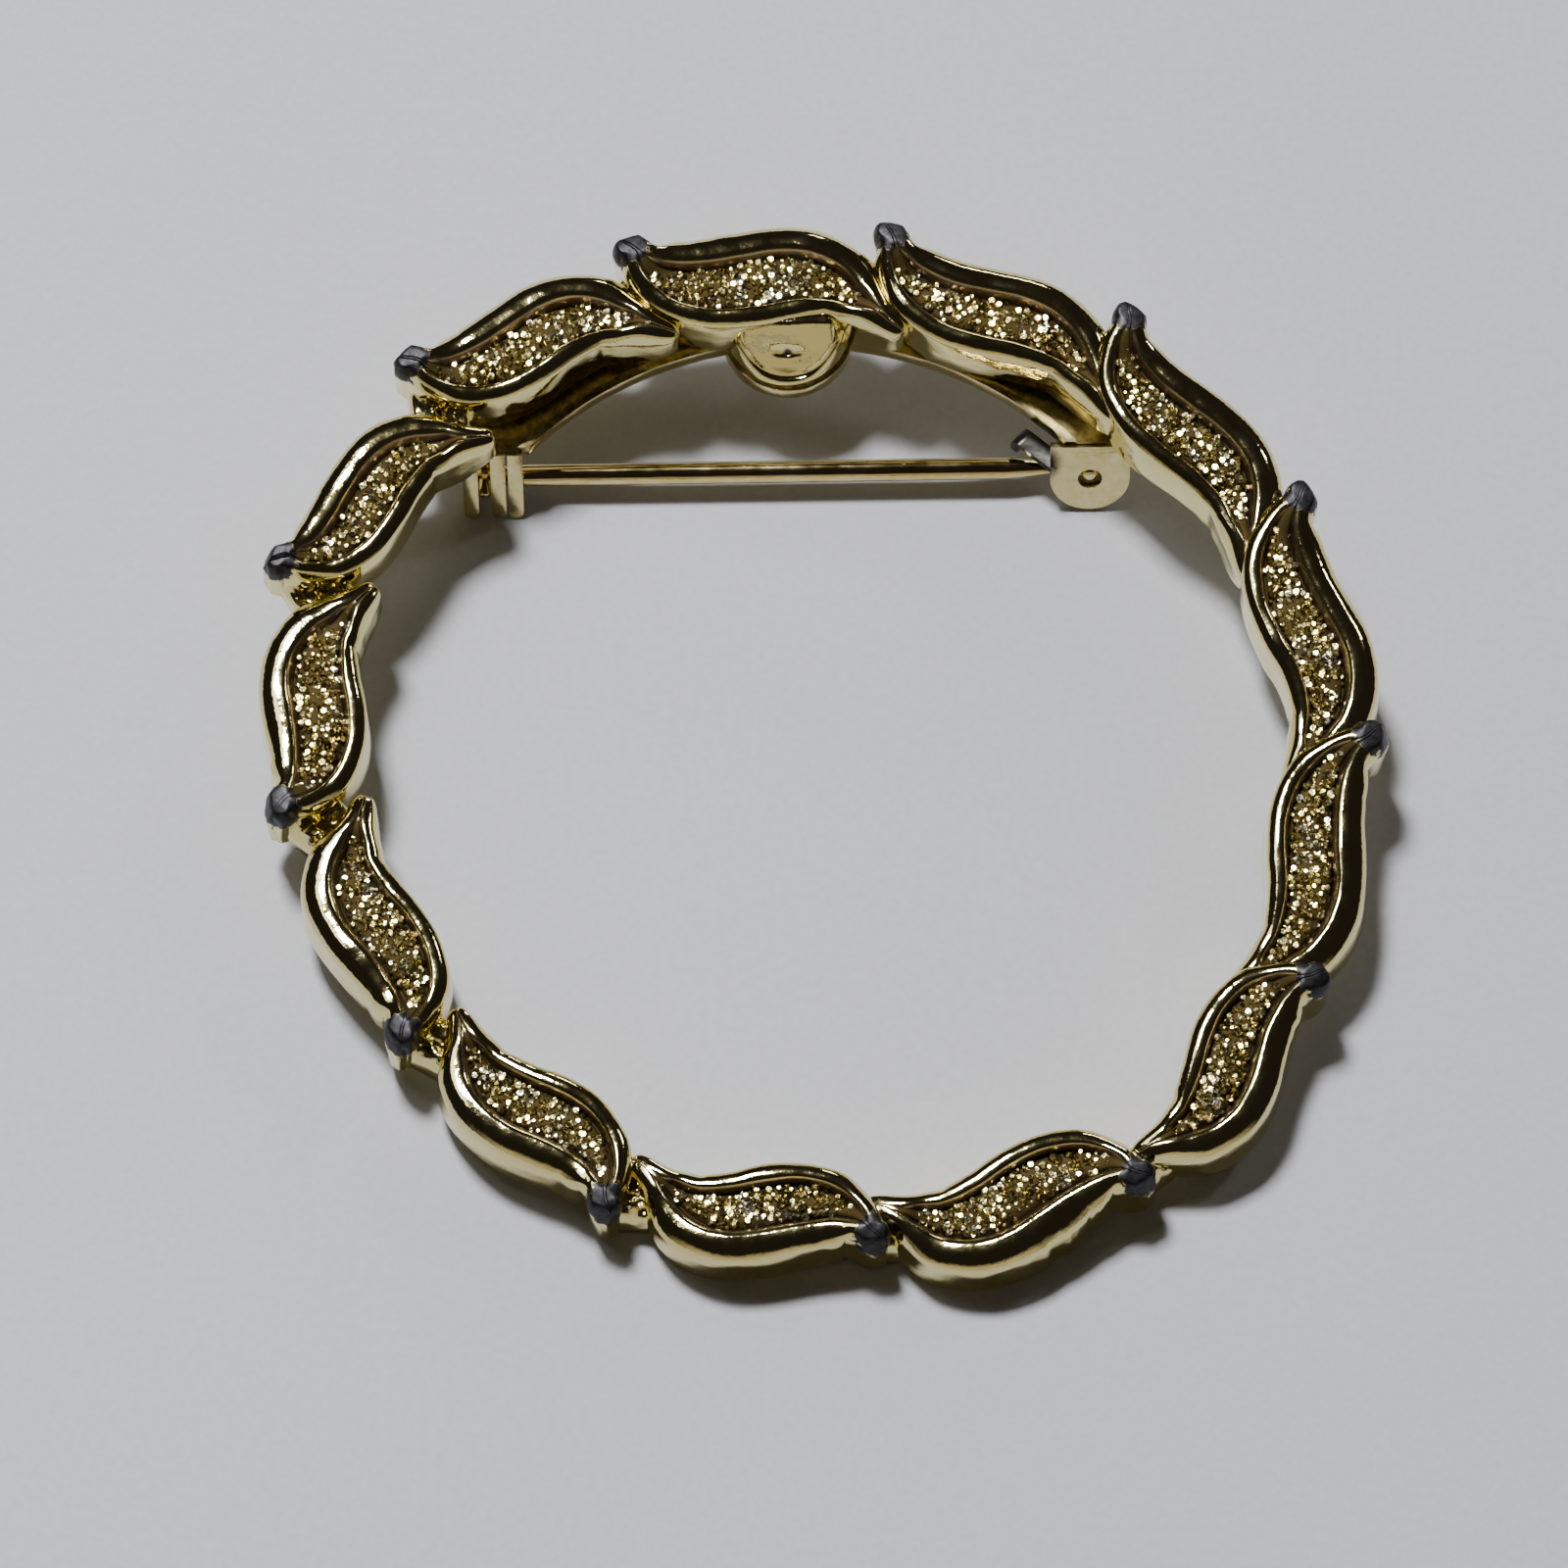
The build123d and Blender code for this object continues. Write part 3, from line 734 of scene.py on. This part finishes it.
def all_grains():
    """Every grain's place, the way out of what it sits on, and its share of the full size."""
    rng = np.random.default_rng(FIELD_SEED)
    grains = []
    for leaf in LEAVES:
        grains += field_grains(leaf, rng)
    for leaf, next_leaf in zip(LEAVES, LEAVES[1:] + LEAVES[:1]):
        for web in WEBS:
            grains += web_grains(leaf, next_leaf, web, rng)
    return zip(*grains)


def srgb(code):
    """A hex colour as linear RGBA."""
    channels = [int(code[k:k + 2], 16) / 255 for k in (1, 3, 5)]
    return tuple(c / 12.92 if c <= 0.04045 else ((c + 0.055) / 1.055) ** 2.4 for c in channels) + (1.0,)


def node(tree, kind, inputs=None, **settings):
    """One node with its settings; an input that is a socket is linked, anything else is set."""
    made = tree.nodes.new(kind)
    for name, value in settings.items():
        setattr(made, name, value)
    for name, value in (inputs or {}).items():
        if isinstance(value, bpy.types.NodeSocket):
            tree.links.new(value, made.inputs[name])
        else:
            made.inputs[name].default_value = value
    return made


def material(name):
    """An empty node material and its tree."""
    made = bpy.data.materials.new(name)
    made.use_nodes = True
    made.node_tree.nodes.clear()
    return made, made.node_tree


def noise_at(tree, per_mm, detail=3.0, roughness=0.5, squash=None):
    """Noise with that many lumps to the millimetre, in the object's own space."""
    place = node(tree, "ShaderNodeTexCoord").outputs["Object"]
    if squash:
        place = node(tree, "ShaderNodeMapping", {"Vector": place, "Scale": squash}).outputs["Vector"]
    return node(tree, "ShaderNodeTexNoise", {
        "Vector": place, "Scale": per_mm * 1000, "Detail": detail, "Roughness": roughness}).outputs["Fac"]


def ramp(tree, fac, stops):
    """A colour ramp through (place, colour) stops."""
    made = node(tree, "ShaderNodeValToRGB", {"Fac": fac})
    made.color_ramp.elements[0].position, made.color_ramp.elements[0].color = stops[0]
    made.color_ramp.elements[1].position, made.color_ramp.elements[1].color = stops[-1]
    for place, colour in stops[1:-1]:
        made.color_ramp.elements.new(place).color = colour
    return made.outputs["Color"]


def spread(tree, value, low, high, to_low=0.0, to_high=1.0):
    """A value's range moved to another, clamped."""
    made = node(tree, "ShaderNodeMapRange", {
        "Value": value, "From Min": low, "From Max": high, "To Min": to_low, "To Max": to_high})
    return made.outputs["Result"]


def blended(tree, fac, first, second):
    """Two colours or values mixed by a third."""
    made = tree.nodes.new("ShaderNodeMix")
    made.data_type = "RGBA"
    for name, value in (("Factor", fac), ("A", first), ("B", second)):
        socket = [s for s in made.inputs if s.name == name and s.enabled and s.type in ("RGBA", "VALUE")][0]
        if isinstance(value, bpy.types.NodeSocket):
            tree.links.new(value, socket)
        else:
            socket.default_value = value
    return [s for s in made.outputs if s.enabled][0]


def finished(tree, inputs):
    """The surface's shader, metal unless told otherwise, and the output."""
    shader = node(tree, "ShaderNodeBsdfPrincipled", {"Metallic": 1.0, **inputs})
    node(tree, "ShaderNodeOutputMaterial", {"Surface": shader.outputs["BSDF"]})


def plated_casting():
    """Pale gold flash on a polished white-metal casting.

    The eye sees a mirror a little rolled by polishing, with a skin of faint
    dimples, brown antiquing left in the grooves and on the floors, a painted
    mauve-brown reflection and shade down the rims' inner slopes, painted shade
    in the boss's dimple and pit, and the lead-grey metal bare where the tips
    have rubbed."""
    made, tree = material("pale_gold_plated_casting")
    wear = node(tree, "ShaderNodeAttribute", attribute_name="wear").outputs["Fac"]
    stain = node(tree, "ShaderNodeAttribute", attribute_name="stain").outputs["Fac"]
    rolls = noise_at(tree, 0.35, 2.0)
    haze = noise_at(tree, 1.6, 4.0)
    ragged = noise_at(tree, 3.5, 3.0)
    peel = noise_at(tree, 4.5, 2.0)
    ragged_wear = node(tree, "ShaderNodeMath", {
        0: wear, 1: spread(tree, ragged, 0.3, 0.7, -0.22, 0.22)}, operation="ADD").outputs[0]
    worn = spread(tree, ragged_wear, 0.42, 0.52)
    gold = ramp(tree, rolls, [(0.3, srgb("#E8DA92")), (0.7, srgb("#EFE3A4"))])
    # The brown is antiquing in the grooves and on the floors; on the rims' inner slopes it is painted
    # reflection and shade, and in the boss's dimple and pit it is painted shade
    brown = ramp(tree, stain, [(0.4, srgb("#776860")), (1.0, srgb("#4E4226"))])
    plating = blended(tree, spread(tree, stain, 0.12, 0.5), gold, brown)
    lead = ramp(tree, ragged, [(0.35, srgb("#272628")), (0.65, srgb("#3D3C3D"))])
    colour = blended(tree, worn, plating, lead)
    polished = spread(tree, haze, 0.35, 0.75, 0.05, 0.10)
    dulled = node(tree, "ShaderNodeMix", {
        0: spread(tree, stain, 0.0, 0.45), 2: polished, 3: 0.36}).outputs[0]
    floor = spread(tree, stain, 0.6, 1.0, 0.0, 0.36)
    plating_rough = node(tree, "ShaderNodeMath", {0: dulled, 1: floor}, operation="ADD").outputs[0]
    rough = node(tree, "ShaderNodeMix", {0: worn, 2: plating_rough, 3: 0.46}).outputs[0]
    dents = node(tree, "ShaderNodeBump", {"Height": rolls, "Strength": 0.35, "Distance": 0.0004})
    skin = node(tree, "ShaderNodeBump", {
        "Height": peel, "Strength": spread(tree, wear, 0.1, 0.6, 1.0, 0.15), "Distance": 0.000007,
        "Normal": dents.outputs["Normal"]})
    finished(tree, {"Base Color": colour, "Roughness": rough, "Normal": skin.outputs["Normal"]})
    return made


def antiqued_grains():
    """Pale gold flash over a cast field of grains, wiped with a brown antiquing.

    The eye sees bright yellow heads with white glints over olive-brown
    hollows."""
    made, tree = material("antiqued_gold_grains")
    crown = node(tree, "ShaderNodeAttribute", attribute_name="crown").outputs["Fac"]
    patches = noise_at(tree, 1.1, 3.0)
    fine = noise_at(tree, 8.0, 2.0)
    heads = ramp(tree, patches, [(0.3, srgb("#DAC470")), (0.5, srgb("#E7D890")), (0.7, srgb("#F3EED2"))])
    colour = blended(tree, spread(tree, crown, 0.1, 0.7), srgb("#5B532F"), heads)
    rough = spread(tree, fine, 0.3, 0.7, 0.10, 0.26)
    pits = node(tree, "ShaderNodeBump", {"Height": fine, "Strength": 0.5, "Distance": 0.00003})
    finished(tree, {"Base Color": colour, "Roughness": rough, "Normal": pits.outputs["Normal"]})
    return made


def plated_sheet():
    """Pale gold flash on stamped brass strip.

    The eye sees a smooth bright strip with rolling marks, a dull brown painted
    shade on what faces up in the channel under the casting, and the tongue
    rubbed through to dark grey."""
    made, tree = material("pale_gold_plated_strip")
    rolls = noise_at(tree, 0.5, 3.0)
    haze = noise_at(tree, 2.4, 5.0, 0.6)
    # Rolling marks are finer than this on the real strip: drawn as coarse as still shows
    lines = noise_at(tree, 14.0, 2.0, squash=(0.15, 1.0, 1.0))
    # Painted shade: what faces up, in the channel under the casting, is painted dull brown
    upward = node(tree, "ShaderNodeSeparateXYZ", {
        "Vector": node(tree, "ShaderNodeNewGeometry").outputs["Normal"]}).outputs["Z"]
    stain = spread(tree, upward, 0.8, 0.95)
    bright = ramp(tree, haze, [(0.32, srgb("#D9C785")), (0.7, srgb("#E8DCA8"))])
    dull = ramp(tree, haze, [(0.4, srgb("#8E7D50")), (0.6, srgb("#C0AE74"))])
    gold = blended(tree, stain, bright, dull)
    clean = node(tree, "ShaderNodeMix", {
        0: stain, 2: spread(tree, haze, 0.35, 0.7, 0.15, 0.08), 3: 0.36}).outputs[0]
    place = node(tree, "ShaderNodeTexCoord").outputs["Object"]
    from_tongue = node(tree, "ShaderNodeVectorMath", {
        0: place, 1: lie([TONGUE_MIDDLE], BAR_TURN)[0]}, operation="DISTANCE").outputs["Value"]
    rubbed = spread(tree, from_tongue, TONGUE_CLEAN / 1000, TONGUE_RUBBED / 1000)
    colour = blended(tree, rubbed, gold, srgb("#33312E"))
    rough = node(tree, "ShaderNodeMix", {0: rubbed, 2: clean, 3: 0.28}).outputs[0]
    dents = node(tree, "ShaderNodeBump", {"Height": rolls, "Strength": 0.3, "Distance": 0.0002})
    marks = node(tree, "ShaderNodeBump", {
        "Height": lines, "Strength": 0.12, "Distance": 0.00003, "Normal": dents.outputs["Normal"]})
    finished(tree, {"Base Color": colour, "Roughness": rough, "Normal": marks.outputs["Normal"]})
    return made


def plated_wire():
    """Pale gold flash on hard-drawn brass wire.

    The eye sees a straight bright rod with faint lines along it from the
    die."""
    made, tree = material("pale_gold_plated_wire")
    haze = noise_at(tree, 1.2, 3.0)
    # The die's lines are finer than this on the real wire: drawn as coarse as still shows
    lines = noise_at(tree, 16.0, 2.0, squash=(0.04, 1.0, 1.0))
    gold = ramp(tree, haze, [(0.3, srgb("#DEC57C")), (0.7, srgb("#EBDBA2"))])
    rough = spread(tree, haze, 0.3, 0.7, 0.07, 0.14)
    marks = node(tree, "ShaderNodeBump", {"Height": lines, "Strength": 0.15, "Distance": 0.00003})
    finished(tree, {"Base Color": gold, "Roughness": rough, "Normal": marks.outputs["Normal"]})
    return made


def table_top():
    """A pale grey laminate with a fine even grain."""
    made, tree = material("pale_grey_laminate")
    grain = noise_at(tree, 3.0, 3.0)
    colour = ramp(tree, grain, [(0.3, srgb("#AEAFB4")), (0.7, srgb("#B5B6BB"))])
    bumps = node(tree, "ShaderNodeBump", {"Height": grain, "Strength": 0.1, "Distance": 0.00005})
    finished(tree, {
        "Base Color": colour, "Metallic": 0.0, "Roughness": 0.55, "Normal": bumps.outputs["Normal"]})
    return made


def grain_tree(grain_material):
    """Geometry nodes that set one blunt grain on each point, turned out of the floor."""
    tree = bpy.data.node_groups.new("grain_field", "GeometryNodeTree")
    sockets = {"Points": "Geometry", "Grain Radius": "Float", "Unevenness": "Float", "Seed": "Int"}
    for name, kind in sockets.items():
        tree.interface.new_socket(name, in_out="INPUT", socket_type="NodeSocket" + kind)
    tree.interface.new_socket("Grains", in_out="OUTPUT", socket_type="NodeSocketGeometry")
    given = node(tree, "NodeGroupInput").outputs
    radius = given["Grain Radius"]
    top = node(tree, "ShaderNodeMath", {0: radius, 1: GRAIN_TOP}, operation="MULTIPLY")
    tall = node(tree, "ShaderNodeMath", {0: radius, 1: GRAIN_HEIGHT}, operation="MULTIPLY")
    grain = node(tree, "GeometryNodeMeshCone", {
        "Vertices": GRAIN_SIDES, "Radius Top": top.outputs[0], "Radius Bottom": radius,
        "Depth": tall.outputs[0]})
    place = node(tree, "GeometryNodeInputPosition")
    up = node(tree, "ShaderNodeSeparateXYZ", {"Vector": place.outputs["Position"]})
    share = node(tree, "ShaderNodeMath", {0: up.outputs["Z"], 1: radius}, operation="DIVIDE")
    crowned = node(tree, "GeometryNodeStoreNamedAttribute", {
        "Geometry": grain.outputs["Mesh"], "Name": "crown", "Value": share.outputs[0]})
    out = node(tree, "GeometryNodeInputNamedAttribute", {"Name": "up"}, data_type="FLOAT_VECTOR")
    turned = node(tree, "FunctionNodeAlignRotationToVector", {"Vector": out.outputs["Attribute"]}, axis="Z")
    size = node(tree, "GeometryNodeInputNamedAttribute", {"Name": "size"}, data_type="FLOAT")
    set_out = node(tree, "GeometryNodeInstanceOnPoints", {
        "Points": given["Points"], "Instance": crowned.outputs["Geometry"],
        "Rotation": turned.outputs["Rotation"], "Scale": size.outputs["Attribute"]})
    solid = node(tree, "GeometryNodeRealizeInstances", {"Geometry": set_out.outputs["Instances"]})
    lumps = node(tree, "ShaderNodeTexNoise", {"Scale": 5000.0, "Detail": 1.0, "W": given["Seed"]},
        noise_dimensions="4D")
    centred = node(tree, "ShaderNodeVectorMath", {
        0: lumps.outputs["Color"], 1: (0.5, 0.5, 0.5)}, operation="SUBTRACT")
    moved = node(tree, "ShaderNodeVectorMath", {
        0: centred.outputs[0], "Scale": given["Unevenness"]}, operation="SCALE")
    uneven = node(tree, "GeometryNodeSetPosition", {
        "Geometry": solid.outputs["Geometry"], "Offset": moved.outputs[0]})
    faceted = node(tree, "GeometryNodeSetShadeSmooth", {
        "Geometry": uneven.outputs["Geometry"], "Shade Smooth": False})
    dressed = node(tree, "GeometryNodeSetMaterial", {
        "Geometry": faceted.outputs[0], "Material": grain_material})
    node(tree, "NodeGroupOutput", {"Grains": dressed.outputs["Geometry"]})
    return tree


def grown(name, tree, seeds, settings):
    """What a geometry tree makes of an object, as a plain mesh."""
    modifier = seeds.modifiers.new(name, "NODES")
    modifier.node_group = tree
    for socket in tree.interface.items_tree:
        if socket.name in settings:
            modifier[socket.identifier] = settings[socket.name]
    evaluated = seeds.evaluated_get(bpy.context.evaluated_depsgraph_get())
    mesh = bpy.data.meshes.new_from_object(evaluated)
    mesh.name = name
    seeds.modifiers.remove(modifier)
    bpy.data.objects.remove(seeds)
    made = bpy.data.objects.new(name, mesh)
    bpy.context.scene.collection.objects.link(made)
    return made


def make_wreath(finish):
    """The casting: leaves, webs, the boss and its post."""
    shell = Shell()
    for index, leaf in enumerate(LEAVES):
        add_leaf(shell, leaf, index)
        for web in WEBS:
            add_web(shell, leaf, LEAVES[(index + 1) % len(LEAVES)], web)
    add_lobe(shell)
    return shell.piece("leaf_wreath", finish, roll=ROLL_HEIGHT, roll_length=ROLL_LENGTH)


def make_grains(finish):
    """The grains of every leaf's field and of the webs."""
    places, ups, sizes = all_grains()
    mesh = bpy.data.meshes.new("grain_places")
    mesh.from_pydata(lie(places).tolist(), [], [])
    up = mesh.attributes.new("up", "FLOAT_VECTOR", "POINT")
    tipped = lie(ups) - lie([(0, 0, 0)])
    up.data.foreach_set("vector", tipped.ravel())
    size = mesh.attributes.new("size", "FLOAT", "POINT")
    size.data.foreach_set("value", sizes)
    seeds = bpy.data.objects.new("grain_places", mesh)
    bpy.context.scene.collection.objects.link(seeds)
    return grown("leaf_grains", grain_tree(finish), seeds, {
        "Grain Radius": GRAIN_RADIUS / 1000, "Unevenness": GRAIN_UNEVENNESS / 1000, "Seed": LUMP_SEED})


def make_bar(finish):
    """The stamped bar with its folded ends: the plain solid with its edges rounded by the stamping."""
    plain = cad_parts["back_bar"]
    mesh = bpy.data.meshes.new("stamped_bar")
    shape = bmesh.new()
    shape.from_mesh(plain.data)
    bmesh.ops.remove_doubles(shape, verts=shape.verts, dist=SAME_POINT)
    bmesh.ops.dissolve_limit(shape, angle_limit=FLAT_ANGLE, verts=shape.verts, edges=shape.edges)
    bmesh.ops.recalc_face_normals(shape, faces=shape.faces)
    shape.to_mesh(mesh)
    shape.free()
    mesh.materials.clear()
    mesh.materials.append(finish)
    made = bpy.data.objects.new("stamped_bar", mesh)
    bpy.context.scene.collection.objects.link(made)
    mesh.shade_smooth()
    rounded = made.modifiers.new("rounded_edges", "BEVEL")
    rounded.width = STAMPED_EDGE / 1000
    rounded.segments = 3
    rounded.limit_method = "ANGLE"
    rounded.angle_limit = STAMPED_EDGE_ANGLE
    rounded.harden_normals = True
    return made


def plate_point(x, down, behind):
    """A point of the folded catch plate, from its fold."""
    y = FOLD_Y - down * math.sin(LEAN) + behind * math.cos(LEAN)
    z = FOLD_Z - down * math.cos(LEAN) - behind * math.sin(LEAN)
    return (x, y, z)


def make_stud(finish):
    """The peened stud in the catch plate, a little behind the plate's face."""
    shell = Shell()
    front = plate_point(CATCH_X, STUD_DOWN, -SHEET / 2)
    axis = (0, math.cos(LEAN), -math.sin(LEAN))
    back = SHEET + SEAT_GAP
    r = STUD_RADIUS
    head = STUD_HEAD_RADIUS
    nose = [(0, 0), (0.01, 0.5), (0.06, 0.86), (0.14, 1)]
    profile = [(STUD_SET_BACK + place, share * r) for place, share in nose]
    profile += [(back, r), (back, head), (back + STUD_HEAD_HEIGHT * 0.6, head)]
    profile += [(back + STUD_HEAD_HEIGHT, head * 0.85), (back + STUD_HEAD_HEIGHT, 0)]
    shell.add(*lathe(profile, front, axis, WIRE_SEGMENTS))
    return shell.piece("catch_stud_wire", finish, turn=BAR_TURN)


def make_hinge_wire(finish):
    """The wire that the stem turns on, with its peened head."""
    shell = Shell()
    front = FOLD_Y - (FOLD_Z - PIVOT_Z) * math.tan(LEAN)
    back = REAR_EAR_Y + SHEET + PIN_GAP - front
    r = PIVOT_RADIUS
    head = PIVOT_HEAD_RADIUS
    profile = [(0, 0), (0, r * 0.7), (0.06, r), (back, r), (back, head)]
    profile += [(back + PIVOT_HEAD_HEIGHT * 0.6, head)]
    profile += [(back + PIVOT_HEAD_HEIGHT, head * 0.7), (back + PIVOT_HEAD_HEIGHT, 0)]
    shell.add(*lathe(profile, (HINGE_X, front, PIVOT_Z), (0, 1, 0), WIRE_SEGMENTS))
    return shell.piece("hinge_wire", finish, turn=BAR_TURN)


def make_stem(finish):
    """The pin stem: a flattened eye, a thinner neck, the straight shaft and the ground tip."""
    shell = Shell()
    eye = (HINGE_X, STEM_Y, PIVOT_Z)
    shell.add(*washer(BORE_RADIUS, EYE_RADIUS, EYE_THICKNESS, eye, (0, 1, 0), EYE_SEGMENTS, EYE_EDGE))
    root = HINGE_X + EYE_RADIUS - STEM_RADIUS / 2
    length = STEM_TIP_X - root
    profile = [(0, 0), (0, NECK_RADIUS)]
    for share in (0.5, 1):
        profile.append(((STEM_START_X - root) * share, NECK_RADIUS + (STEM_RADIUS - NECK_RADIUS) * share))
    profile += [(x - root, STEM_RADIUS) for x in np.linspace(STEM_START_X, STEM_TAPER_X, 24)[1:]]
    for share in np.linspace(0, 1, 12)[1:]:
        x = STEM_TAPER_X + (STEM_TIP_X - STEM_POINT - STEM_TAPER_X) * share
        profile.append((x - root, STEM_RADIUS + (STEM_TIP_RADIUS - STEM_RADIUS) * share ** 1.15))
    profile += [(length - 0.02, 0.07), (length, 0)]
    shell.add(*lathe(profile, (root, STEM_Y, PIVOT_Z), (1, 0, 0), STEM_SEGMENTS))
    return shell.piece("stem_wire", finish, turn=BAR_TURN)


def soft_lamp(name, place, size, power, colour):
    """A rectangular lamp that faces the brooch."""
    lamp = bpy.data.lights.new(name, "AREA")
    lamp.shape = "RECTANGLE"
    lamp.size, lamp.size_y = size
    lamp.energy = power
    lamp.color = colour
    made = bpy.data.objects.new(name, lamp)
    made.location = place
    made.rotation_mode = "QUATERNION"
    made.rotation_quaternion = (LAMP_AIM - Vector(place)).to_track_quat("-Z", "Y")
    bpy.context.scene.collection.objects.link(made)


def set_table():
    """The pale table top that the brooch lies on."""
    mesh = bpy.data.meshes.new("table_top")
    corners = [(x * TABLE_REACH, y * TABLE_REACH, 0) for x, y in ((-1, -1), (1, -1), (1, 1), (-1, 1))]
    mesh.from_pydata(corners, [], [(0, 1, 2, 3)])
    mesh.materials.append(table_top())
    table = bpy.data.objects.new("table_top", mesh)
    bpy.context.scene.collection.objects.link(table)


def dim_room():
    """Dark surroundings with a pale glow low in front of the table."""
    world = bpy.data.worlds.new("dim_room")
    world.use_nodes = True
    tree = world.node_tree
    direction = node(tree, "ShaderNodeTexCoord").outputs["Generated"]
    way = node(tree, "ShaderNodeSeparateXYZ", {"Vector": direction}).outputs
    glow = node(tree, "ShaderNodeMath", {
        0: spread(tree, way["Y"], -0.45, -0.85), 1: spread(tree, way["Z"], 0.42, 0.2)},
        operation="MULTIPLY").outputs[0]
    lit = blended(tree, glow, srgb("#221F21"), srgb("#C4BBAA"))
    background = tree.nodes["Background"].inputs
    tree.links.new(lit, background["Color"])
    background["Strength"].default_value = 1.0
    bpy.context.scene.world = world


def set_camera():
    """The camera at the photograph's angle, distance and angle of view."""
    camera = bpy.data.cameras.new("camera")
    camera.sensor_width = 36
    camera.lens = CAMERA_LENS
    camera.clip_start = 0.01
    eye = bpy.data.objects.new("camera", camera)
    away = Vector((0, -math.cos(CAMERA_ELEVATION), math.sin(CAMERA_ELEVATION)))
    eye.location = CAMERA_TARGET + away * CAMERA_DISTANCE
    eye.rotation_euler = (math.pi / 2 - CAMERA_ELEVATION, 0, 0)
    bpy.context.scene.collection.objects.link(eye)
    bpy.context.scene.camera = eye


casting_finish = plated_casting()
sheet_finish = plated_sheet()
wire_finish = plated_wire()
pieces = [
    # piece, body, record's slot, the solid it stands for
    (make_wreath(casting_finish), "brooch", "plated_casting", "wreath"),
    (make_grains(antiqued_grains()), "brooch", "plated_casting", None),
    (make_bar(sheet_finish), "brooch", "plated_sheet", "back_bar"),
    (make_stud(sheet_finish), "brooch", "plated_sheet", "catch_stud"),
    (make_hinge_wire(wire_finish), "brooch", "plated_wire", "hinge_pin"),
    (make_stem(wire_finish), "stem", "plated_wire", "pin_stem"),
]
for piece, body, slot, solid in pieces:
    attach(piece, body)
    if solid:
        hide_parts(solid)
set_table()
for lamp in LAMPS:
    soft_lamp(*lamp)
dim_room()
set_camera()
